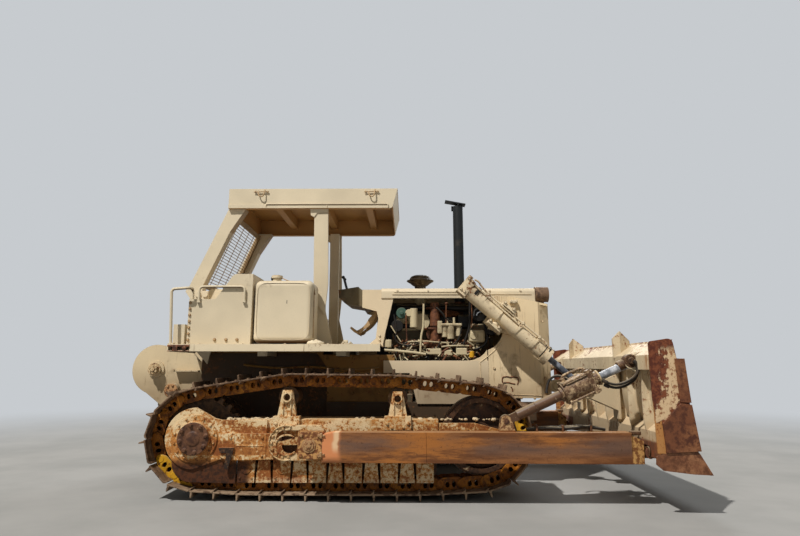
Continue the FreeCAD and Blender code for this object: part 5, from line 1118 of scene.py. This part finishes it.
def makeBay():
    crumbs = {name: [] for name in ("engineCream", "rustyIron", "oily")}
    for k in range(bay["crumbs"]):
        spot = [random.uniform(*span) for span in bay["crumbBox"]]
        kind = random.choice(("engineCream", "engineCream", "rustyIron", "oily"))
        crumbs[kind].append((spot, random.uniform(0.006, 0.020)))
    for name in ("oily", "engineGreen", "engineCream", "rustyIron", "chrome", "yellow"):
        bm = bmesh.new()
        for kind, *what in bay[name]:
            if kind == "block":
                block(bm, *what)
            elif kind == "bar":
                bar(bm, *what, sides=24, bevel=0.004)
            elif kind == "pipe":
                pipe(bm, *what)
            else:
                made = bmesh.ops.create_uvsphere(bm, u_segments=12, v_segments=8, radius=what[1])
                bmesh.ops.translate(bm, verts=made["verts"], vec=what[0])
        for spot, size in crumbs.get(name, []):
            if size > 0.012:
                lean = Vector((random.uniform(-1, 1), random.uniform(-0.3, 0.3),
                               random.uniform(-1, 1))).normalized() * size * 2.4
                start, end = Vector(spot) - lean, Vector(spot) + lean
                start.y, end.y = max(start.y, bay["inside"]), max(end.y, bay["inside"])
                bar(bm, start, end, size * 0.5, sides=8)
            else:
                hexBolt(bm, spot, size, size * 0.9)
        if name == "rustyIron":
            first, last, count = bay["studs"]
            for k in range(count):
                x = first + (last - first) * k / (count - 1)
                hexBolt(bm, (x, -0.398, 1.498), 0.011, 0.016)
        onBothSides(bm)
        finishPiece(bm, "bay" + name[0].upper() + name[1:], name)


# Pre-cleaner: a spun bowl with a domed lid on its neck
preCleaner = {"profile": ((0.0, 0.0), (0.062, 0.0), (0.066, 0.052), (0.088, 0.060), (0.118, 0.078), (0.152, 0.092),
                          (0.160, 0.098), (0.157, 0.104),
                          (0.128, 0.112), (0.124, 0.120), (0.108, 0.136), (0.076, 0.146), (0.030, 0.150),
                          (0.0, 0.151)), "steps": 40}


def makePreCleaner():
    low, high = [Vector(v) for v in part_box("precleaner")]
    middle = (low + high) / 2
    bm = bmesh.new()
    tall = (high.z - low.z) / preCleaner["profile"][-1][1]
    corners = [bm.verts.new((middle.x + r, middle.y, low.z + z * tall)) for r, z in preCleaner["profile"]]
    edges = [bm.edges.new(pair) for pair in zip(corners, corners[1:])]
    bmesh.ops.spin(bm, geom=corners + edges, cent=middle, axis=(0, 0, 1), angle=2 * math.pi,
                   steps=preCleaner["steps"], use_merge=True)
    bmesh.ops.remove_doubles(bm, verts=bm.verts, dist=1e-5)
    bar(bm, (middle.x, middle.y, high.z - 0.012), (middle.x, middle.y, high.z - 0.001), 0.014, sides=6)
    finishPiece(bm, "preCleanerBowl", "precleaner", replaced=["precleaner"], smooth=24)


# Radiator guard and hood: welded seams, patches, bolts and the flange along the opening
guardTrim = {
    "face": -0.5005, "seams": (((1.012, 1.08), (1.012, 1.267)), ((1.250, 1.490), (1.200, 1.420), (1.120, 1.345),
                                                                 (1.012, 1.267)),
                               ((1.24, 0.93), (1.42, 0.925), (1.66, 0.915))),
    "slits": (((1.250, 1.109), (1.290, 1.118), (1.330, 1.103), (1.360, 1.116), (1.410, 1.101)),
              ((1.248, 1.047), (1.300, 1.056), (1.330, 1.044), (1.376, 1.036)),
              ((1.250, 1.109), (1.232, 1.080), (1.248, 1.047)),
              ((1.330, 1.005), (1.352, 0.990), (1.345, 0.962)), ((1.41, 1.101), (1.42, 1.07), (1.40, 1.03))),
    "corner": ((0.840, 1.262), (1.0895, 1.262), (1.0895, 1.398), (1.060, 1.358), (1.012, 1.320), (0.940, 1.290),
               (0.840, 1.277)),
    "bolts": ((1.30, 0.895), (1.44, 0.892), (1.58, 0.888), (1.70, 1.10), (1.70, 1.30), (1.70, 1.50), (1.70, 1.70),
              (1.16, 1.20), (1.16, 1.00)),
}


def makeGuardTrim():
    s = guardTrim
    bm = bmesh.new()
    for path in s["seams"]:
        pipe(bm, [(x, s["face"], z) for x, z in path], 0.005, sides=2)
    for x, z in s["bolts"]:
        hexBolt(bm, (x, s["face"], z), 0.011, 0.010)
    plate(bm, s["corner"], -0.4995, -0.4895)
    onBothSides(bm)
    finishPiece(bm, "guardSeams", "guard")
    bm = bmesh.new()
    for path in s["slits"]:
        pipe(bm, [(x, s["face"], z) for x, z in path], 0.0065, sides=2)
    onBothSides(bm)
    finishPiece(bm, "guardWelds", "rustyIron")
    bm = bmesh.new()
    block(bm, (0.06, -0.4625, 1.998), (1.60, -0.4545, 2.006), 0.003)
    block(bm, (0.08, -0.460, 2.022), (0.92, -0.4545, 2.034), 0.002)
    for x in (0.12, 0.46, 0.80, 1.14, 1.48):
        hexBolt(bm, (x, -0.456, 2.040), 0.009, 0.008)
    for z in (1.46, 1.505, 1.55):
        hexBolt(bm, (-0.075, -0.446, z), 0.011, 0.010)
    block(bm, (1.345, -0.545, 1.892), (1.430, -0.500, 1.930), 0.006)
    for x in (1.36, 1.415):
        hexBolt(bm, (x, -0.545, 1.911), 0.010, 0.010)
    onBothSides(bm)
    finishPiece(bm, "hoodFlanges", "hood")


# Lift cylinders: oil line, clamps, port block, bolts of the gimbal and of the gland
liftTrim = {"pin": (1.218, 1.748), "lean": math.radians(41), "y": 0.700, "lineSide": 0.065, "lineUp": 0.078,
            "bands": ((-0.365, -0.335, 0.0905), (-0.330, -0.322, 0.0900), (0.560, 0.572, 0.0900),
                      (0.600, 0.612, 0.0905))}


def makeLiftTrim():
    s = liftTrim
    cosine, sine = math.cos(s["lean"]), math.sin(s["lean"])

    def along(way, up, y):                   # way along the rod, up square to it
        return (s["pin"][0] + way * cosine + up * sine, y, s["pin"][1] - way * sine + up * cosine)

    for name, side in (("Right", 1), ("Left", -1)):
        bm = bmesh.new()
        y = -s["y"]
        out = y - s["lineSide"]
        for points in (((-0.45, 0.100), (-0.42, 0.120), (-0.34, 0.090), (-0.20, s["lineUp"]), (0.30, s["lineUp"]),
                        (0.52, 0.085), (0.585, 0.060)),
                       ((-0.47, 0.070), (-0.40, 0.060), (-0.30, 0.048), (0.10, 0.046), (0.20, 0.040))):
            pipe(bm, [along(way, up, out - (0.012 if up < 0.07 else 0)) for way, up in points], 0.010)
        for way in (-0.24, 0.22, 0.44):
            band(bm, along(way - 0.010, 0, y), along(way + 0.010, 0, y), 0.0895)
            x, z = along(way, s["lineUp"], out)[::2]
            block(bm, (x - 0.016, out - 0.020, z - 0.016), (x + 0.016, out + 0.018, z + 0.016), 0.004)
        for way in (-0.055, 0.055):
            for up in (-0.123, 0.125):
                hexBolt(bm, along(way, up, y - 0.092), 0.014, 0.015)
        for up, across in ring(0, 0, 0.078, 8, 20):
            start = along(0.638, up, y + across)
            hexBolt(bm, start, 0.011, 0.012, Vector(along(1, 0, 0)) - Vector(along(0, 0, 0)))
        for way in (-0.50, -0.455):
            for up in (-0.07, 0.07):
                hexBolt(bm, along(way, up, y - 0.088), 0.013, 0.014)
        bar(bm, along(-0.50, 0.093, y), along(-0.50, 0.118, y), 0.028, sides=18, bevel=0.003)
        if side < 0:
            bmesh.ops.scale(bm, vec=(1, -1, 1), verts=bm.verts)
        finishPiece(bm, "liftTrim" + name, "cylinder", "barrel_" + name.lower())
        bm = bmesh.new()
        for rear, front, radius in s["bands"]:
            band(bm, along(rear, 0, y), along(front, 0, y), radius)
        if side < 0:
            bmesh.ops.scale(bm, vec=(1, -1, 1), verts=bm.verts)
        finishPiece(bm, "liftBands" + name, "oily", "barrel_" + name.lower())


# Tilt cylinder and blade: tie rods, ports, held hoses and weld beads
tiltTrim = {"foot": (1.130, 0.730), "head": (2.300, 1.254), "y": -1.386, "tieRing": 0.088,
            "rodHoses": (((2.010, -1.470, 1.100), (2.080, -1.492, 1.060), (2.170, -1.496, 1.062),
                          (2.270, -1.496, 1.104),
                          (2.340, -1.490, 1.170), (2.346, -1.480, 1.236), (2.312, -1.466, 1.272)),
                         ((2.030, -1.455, 1.060), (2.110, -1.466, 1.022), (2.220, -1.468, 1.046),
                          (2.310, -1.466, 1.100),
                          (2.352, -1.462, 1.180), (2.330, -1.458, 1.262)))}


def makeTiltTrim():
    s = tiltTrim
    way = Vector((s["head"][0] - s["foot"][0], 0, s["head"][1] - s["foot"][1])).normalized()
    up = Vector((-way.z, 0, way.x))

    def along(reach, rise, y=0.0):
        return Vector((s["foot"][0], s["y"] + y, s["foot"][1])) + way * reach + up * rise

    bm = bmesh.new()
    for rise in (-1, 1):
        for y in (-1, 1):
            r = s["tieRing"]
            bar(bm, along(0.600, rise * r, y * r), along(0.900, rise * r, y * r), 0.010, sides=10)
            bar(bm, along(0.885, rise * r, y * r), along(0.902, rise * r, y * r), 0.020, sides=6)
            bar(bm, along(0.600, rise * r, y * r), along(0.618, rise * r, y * r), 0.018, sides=6)
    bar(bm, along(0.640, 0.090), along(0.640, 0.132), 0.026, sides=16, bevel=0.004)
    bar(bm, along(0.860, 0.090), along(0.860, 0.128), 0.022, sides=16, bevel=0.004)
    pipe(bm, (along(0.640, 0.130), along(0.660, 0.150), along(0.720, 0.150), along(0.800, 0.146),
              along(0.850, 0.140), along(0.860, 0.125)), 0.012)
    bar(bm, along(0.300, 0), along(0.316, 0), 0.052, sides=24, bevel=0.002)
    bar(bm, along(0.560, 0), along(0.590, 0), 0.066, sides=28, bevel=0.004)
    finishPiece(bm, "tiltTrim", "strut", "dozer")
    bm = bmesh.new()
    bar(bm, along(0.945, 0), along(0.962, 0), 0.074, sides=28, bevel=0.004)
    bar(bm, along(0.838, 0), along(0.892, 0), 0.104, sides=8, bevel=0.006)
    for rise in (-1, 1):
        for y in (-1, 1):
            bar(bm, along(0.880, rise * 0.060, y * 0.060), along(0.908, rise * 0.060, y * 0.060), 0.014, sides=6)
    bar(bm, along(0.610, -0.092, -0.030), along(0.925, -0.092, -0.030), 0.017, sides=8, bevel=0.003)
    finishPiece(bm, "tiltFlange", "mottled", "dozer")
    bm = bmesh.new()
    x, z = s["head"]
    bar(bm, (x, s["y"] - 0.052, z + 0.018), (x, s["y"] + 0.052, z + 0.018), 0.062, sides=24, bevel=0.006)
    bar(bm, (x, s["y"] - 0.078, z + 0.018), (x, s["y"] + 0.078, z + 0.018), 0.030, sides=16, bevel=0.004)
    bar(bm, along(1.165, 0.010), along(1.235, 0.014), 0.047, sides=20, bevel=0.006)
    finishPiece(bm, "tiltRodEye", "eye", "dozer")
    bm = bmesh.new()
    for shift in (0.0, 0.030):
        pipe(bm, ((1.330, -1.330 + shift, 0.650), (1.480, -1.325 + shift, 0.668),
                  (1.700, -1.330 + shift, 0.655 + shift * 0.4),
                  (1.900, -1.325 + shift, 0.682), (2.050, -1.330 + shift, 0.652)), 0.016)
    pipe(bm, (along(0.690, 0.092, 0.03), along(0.670, 0.140, 0.05), along(0.600, 0.175, 0.08),
              along(0.520, 0.140, 0.11), along(0.470, 0.060, 0.09)), 0.012)
    finishPiece(bm, "tiltHosesHeld", "hose", "dozer")
    bm = bmesh.new()
    for path in s["rodHoses"]:
        pipe(bm, path, 0.013)
        for end, inner in ((path[0], path[1]), (path[-1], path[-2])):
            tip = Vector(end) + (Vector(inner) - Vector(end)).normalized() * 0.050
            bar(bm, end, tip, 0.018, sides=12, bevel=0.002)
    finishPiece(bm, "tiltRodHoses", "hose", "dozer", replaced=["tilt_hoses"])
    bm = bmesh.new()
    for x in (1.42, 1.66, 1.92):
        block(bm, (x - 0.010, -1.352, 0.634), (x + 0.010, -1.280, 0.690), 0.004)
    finishPiece(bm, "armHoseClamps", "hub", "dozer")


# Seat pads: a swollen closed pad with a sewn welt round it and channels across it
pads = {
    "seatCushionPad": {"node": "seat_cushion", "face": "Z", "fill": 0.85},
    "seatBackPad": {"node": "seat_back", "face": "X", "fill": 0.8, "size": (0.104, 0.494, 0.444),
                    "lean": math.radians(-10),
                    "foot": (-1.418, 0, 1.770), "middle": (0.055, 0, 0.225)},
}
padMaking = {"grain": 0.009, "pressure": 4.0, "frames": 20, "farthest": 0.022, "channels": (-0.25, 0.0, 0.25),
             "channelWide": 0.008, "channelDeep": 0.007, "weltAt": 0.02, "weltWide": 0.005, "weltHigh": 0.004}


def makePad(name, s):
    low, high = [Vector(v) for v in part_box(s["node"])]
    if "lean" in s:
        size, turn = Vector(s["size"]), Matrix.Rotation(s["lean"], 4, "Y")
        place = Matrix.Translation(s["foot"]) @ turn @ Matrix.Translation(s["middle"])
    else:
        size, place = (high - low) * 0.985, Matrix.Translation((low + high) / 2)
    bm = bmesh.new()
    block(bm, -size * 0.46, size * 0.46, 0.026, 3)
    mesh = bpy.data.meshes.new(name)
    bm.to_mesh(mesh)
    bm.free()
    piece = bpy.data.objects.new(name, mesh)
    scene.collection.objects.link(piece)
    grain = piece.modifiers.new("grain", "REMESH")
    grain.mode, grain.voxel_size = "VOXEL", padMaking["grain"]
    settle(piece)
    start = [v.co.copy() for v in piece.data.vertices]
    cloth = piece.modifiers.new("cloth", "CLOTH")
    cloth.settings.use_pressure, cloth.settings.uniform_pressure_force = True, padMaking["pressure"]
    cloth.settings.effector_weights.gravity = 0.0
    for k in range(padMaking["frames"]):
        scene.frame_set(k + 1)
    settle(piece)
    scene.frame_set(1)
    thick = 0 if s["face"] == "X" else 2
    wide = (1, 2) if s["face"] == "X" else (0, 1)
    half = size / 2
    for v, first in zip(piece.data.vertices, start):
        move = v.co - first
        if move.length > padMaking["farthest"]:
            v.co = first + move.normalized() * padMaking["farthest"]
        edge = max(abs(v.co[wide[0]]) / half[wide[0]], abs(v.co[wide[1]]) / half[wide[1]])
        along = v.co[wide[1]]
        channel = sum(math.exp(-((along - at * half[wide[1]] * 2) / padMaking["channelWide"]) ** 2)
                      for at in padMaking["channels"])
        if v.co[thick] > 0 and edge < 0.86:
            v.co[thick] -= padMaking["channelDeep"] * min(channel, 1.0)
        welt = math.exp(-((v.co[thick] - padMaking["weltAt"]) / padMaking["weltWide"]) ** 2)
        v.co[thick] = max(-half[thick], min(half[thick], v.co[thick]))
        if edge > 0.9:
            grow = padMaking["weltHigh"] * welt
            for k in wide:
                v.co[k] += grow * (1 if v.co[k] > 0 else -1) * (abs(v.co[k]) / half[k] > 0.85)
        for k in wide:
            v.co[k] = max(-half[k], min(half[k], v.co[k]))
    smoothing = piece.modifiers.new("smooth", "SUBSURF")
    smoothing.levels = smoothing.render_levels = 1
    settle(piece)
    piece.data.transform(place)
    piece.data.materials.clear()
    piece.data.materials.append(finishes["vinyl"])
    for face in piece.data.polygons:
        face.use_smooth = True
    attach(piece, "chassis")
    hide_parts(s["node"])


def settle(piece):                           # what its modifiers make of the mesh becomes the mesh
    graph = bpy.context.evaluated_depsgraph_get()
    made = bpy.data.meshes.new_from_object(piece.evaluated_get(graph))
    piece.modifiers.clear()
    piece.data = made


makeHubs()
makeUndercarriage()
makeArmTrim()
makeCanopyTrim()
makeBoxTrim()
makeDeckTrim()
makeWinchTrim()
print("frame, canopy, deck and winch trim made")
makeBay()
makePreCleaner()
makeGuardTrim()
makeLiftTrim()
makeTiltTrim()
print("engine bay, guard and cylinder trim made")
for name, settings in pads.items():
    makePad(name, settings)
print("seat pads made")


# Floor, world and lamps
studio = {"floorSize": 60.0, "fadeFrom": 4.5, "fadeTo": 15.0, "backdrop": toLinear(199, 203, 207),
          "worldLight": 0.175}
floorMesh = bmesh.new()
bmesh.ops.create_grid(floorMesh, x_segments=1, y_segments=1, size=studio["floorSize"])
floorData = bpy.data.meshes.new("floor")
floorMesh.to_mesh(floorData)
floorMesh.free()
floorData.transform(Matrix.Translation((0, 0, -0.001)))
floor = bpy.data.objects.new("floor", floorData)
scene.collection.objects.link(floor)
f = Finish("floorPale")
patch = f.noise(0.7, 4.0, 0.6)
speck = f.noise(45.0, 2.0, 0.6)
stone = f.mix(patch.above(0.3, 0.7), toLinear(138, 138, 135), toLinear(151, 150, 147))
stone = f.mix(speck.above(0.55, 0.8) * 0.12, stone, toLinear(124, 123, 120))
ground = f.add("BsdfPrincipled", None, {"Base Color": stone, "Roughness": 0.9})
glow = f.add("Emission", None, {"Color": studio["backdrop"], "Strength": 1.0})
far = f.add("VectorMath", {"operation": "LENGTH"}, {0: f.place}, out="Value").above(studio["fadeFrom"],
                                                                                    studio["fadeTo"])
seen = f.add("LightPath", out="Is Camera Ray")
sweep = f.add("MixShader", None, {0: far * seen, 1: ground, 2: glow})
f.tree.links.new(sweep.socket, f.tree.nodes.new("ShaderNodeOutputMaterial").inputs["Surface"])
floorData.materials.append(f.material)

world = bpy.data.worlds.new("studio")
scene.world = world
world.use_nodes = True
tree = world.node_tree
tree.nodes.clear()
ray = tree.nodes.new("ShaderNodeLightPath")
seen = Wire(tree, ray.outputs["Is Camera Ray"])
for kind in ("Is Glossy Ray", "Is Transmission Ray"):
    seen = seen + Wire(tree, ray.outputs[kind])
seen = seen.maths("MINIMUM", 1.0)
light = tree.nodes.new("ShaderNodeBackground")
light.inputs["Color"].default_value = (1.0, 0.96, 0.89, 1)
light.inputs["Strength"].default_value = studio["worldLight"]
back = tree.nodes.new("ShaderNodeBackground")
back.inputs["Color"].default_value = studio["backdrop"]
back.inputs["Strength"].default_value = 1.0
blend = tree.nodes.new("ShaderNodeMixShader")
out = tree.nodes.new("ShaderNodeOutputWorld")
tree.links.new(seen.socket, blend.inputs[0])
tree.links.new(light.outputs[0], blend.inputs[1])
tree.links.new(back.outputs[0], blend.inputs[2])
tree.links.new(blend.outputs[0], out.inputs[0])


def lamp(name, place, target, size, power, colour):
    data = bpy.data.lights.new(name, "AREA")
    data.shape, data.size, data.energy, data.color = "DISK", size, power, colour
    holder = bpy.data.objects.new(name, data)
    holder.location = place
    holder.rotation_euler = (Vector(target) - Vector(place)).to_track_quat("-Z", "Y").to_euler()
    scene.collection.objects.link(holder)


lamps = {                                    # place, target, size, power, colour
    "key": ((-17.2, -22.9, 41.0), (0, 0, 0.8), 1.2, 30800, (1.0, 0.97, 0.93)),
    "fill": ((9.0, -9.0, 5.0), (0, 0, 1.0), 6.0, 75, (0.95, 0.97, 1.0)),
    "rim": ((4.0, 9.0, 8.0), (0, 0, 1.2), 5.0, 500, (0.96, 0.98, 1.0)),
}
for name, settings in lamps.items():
    lamp(name, *settings)
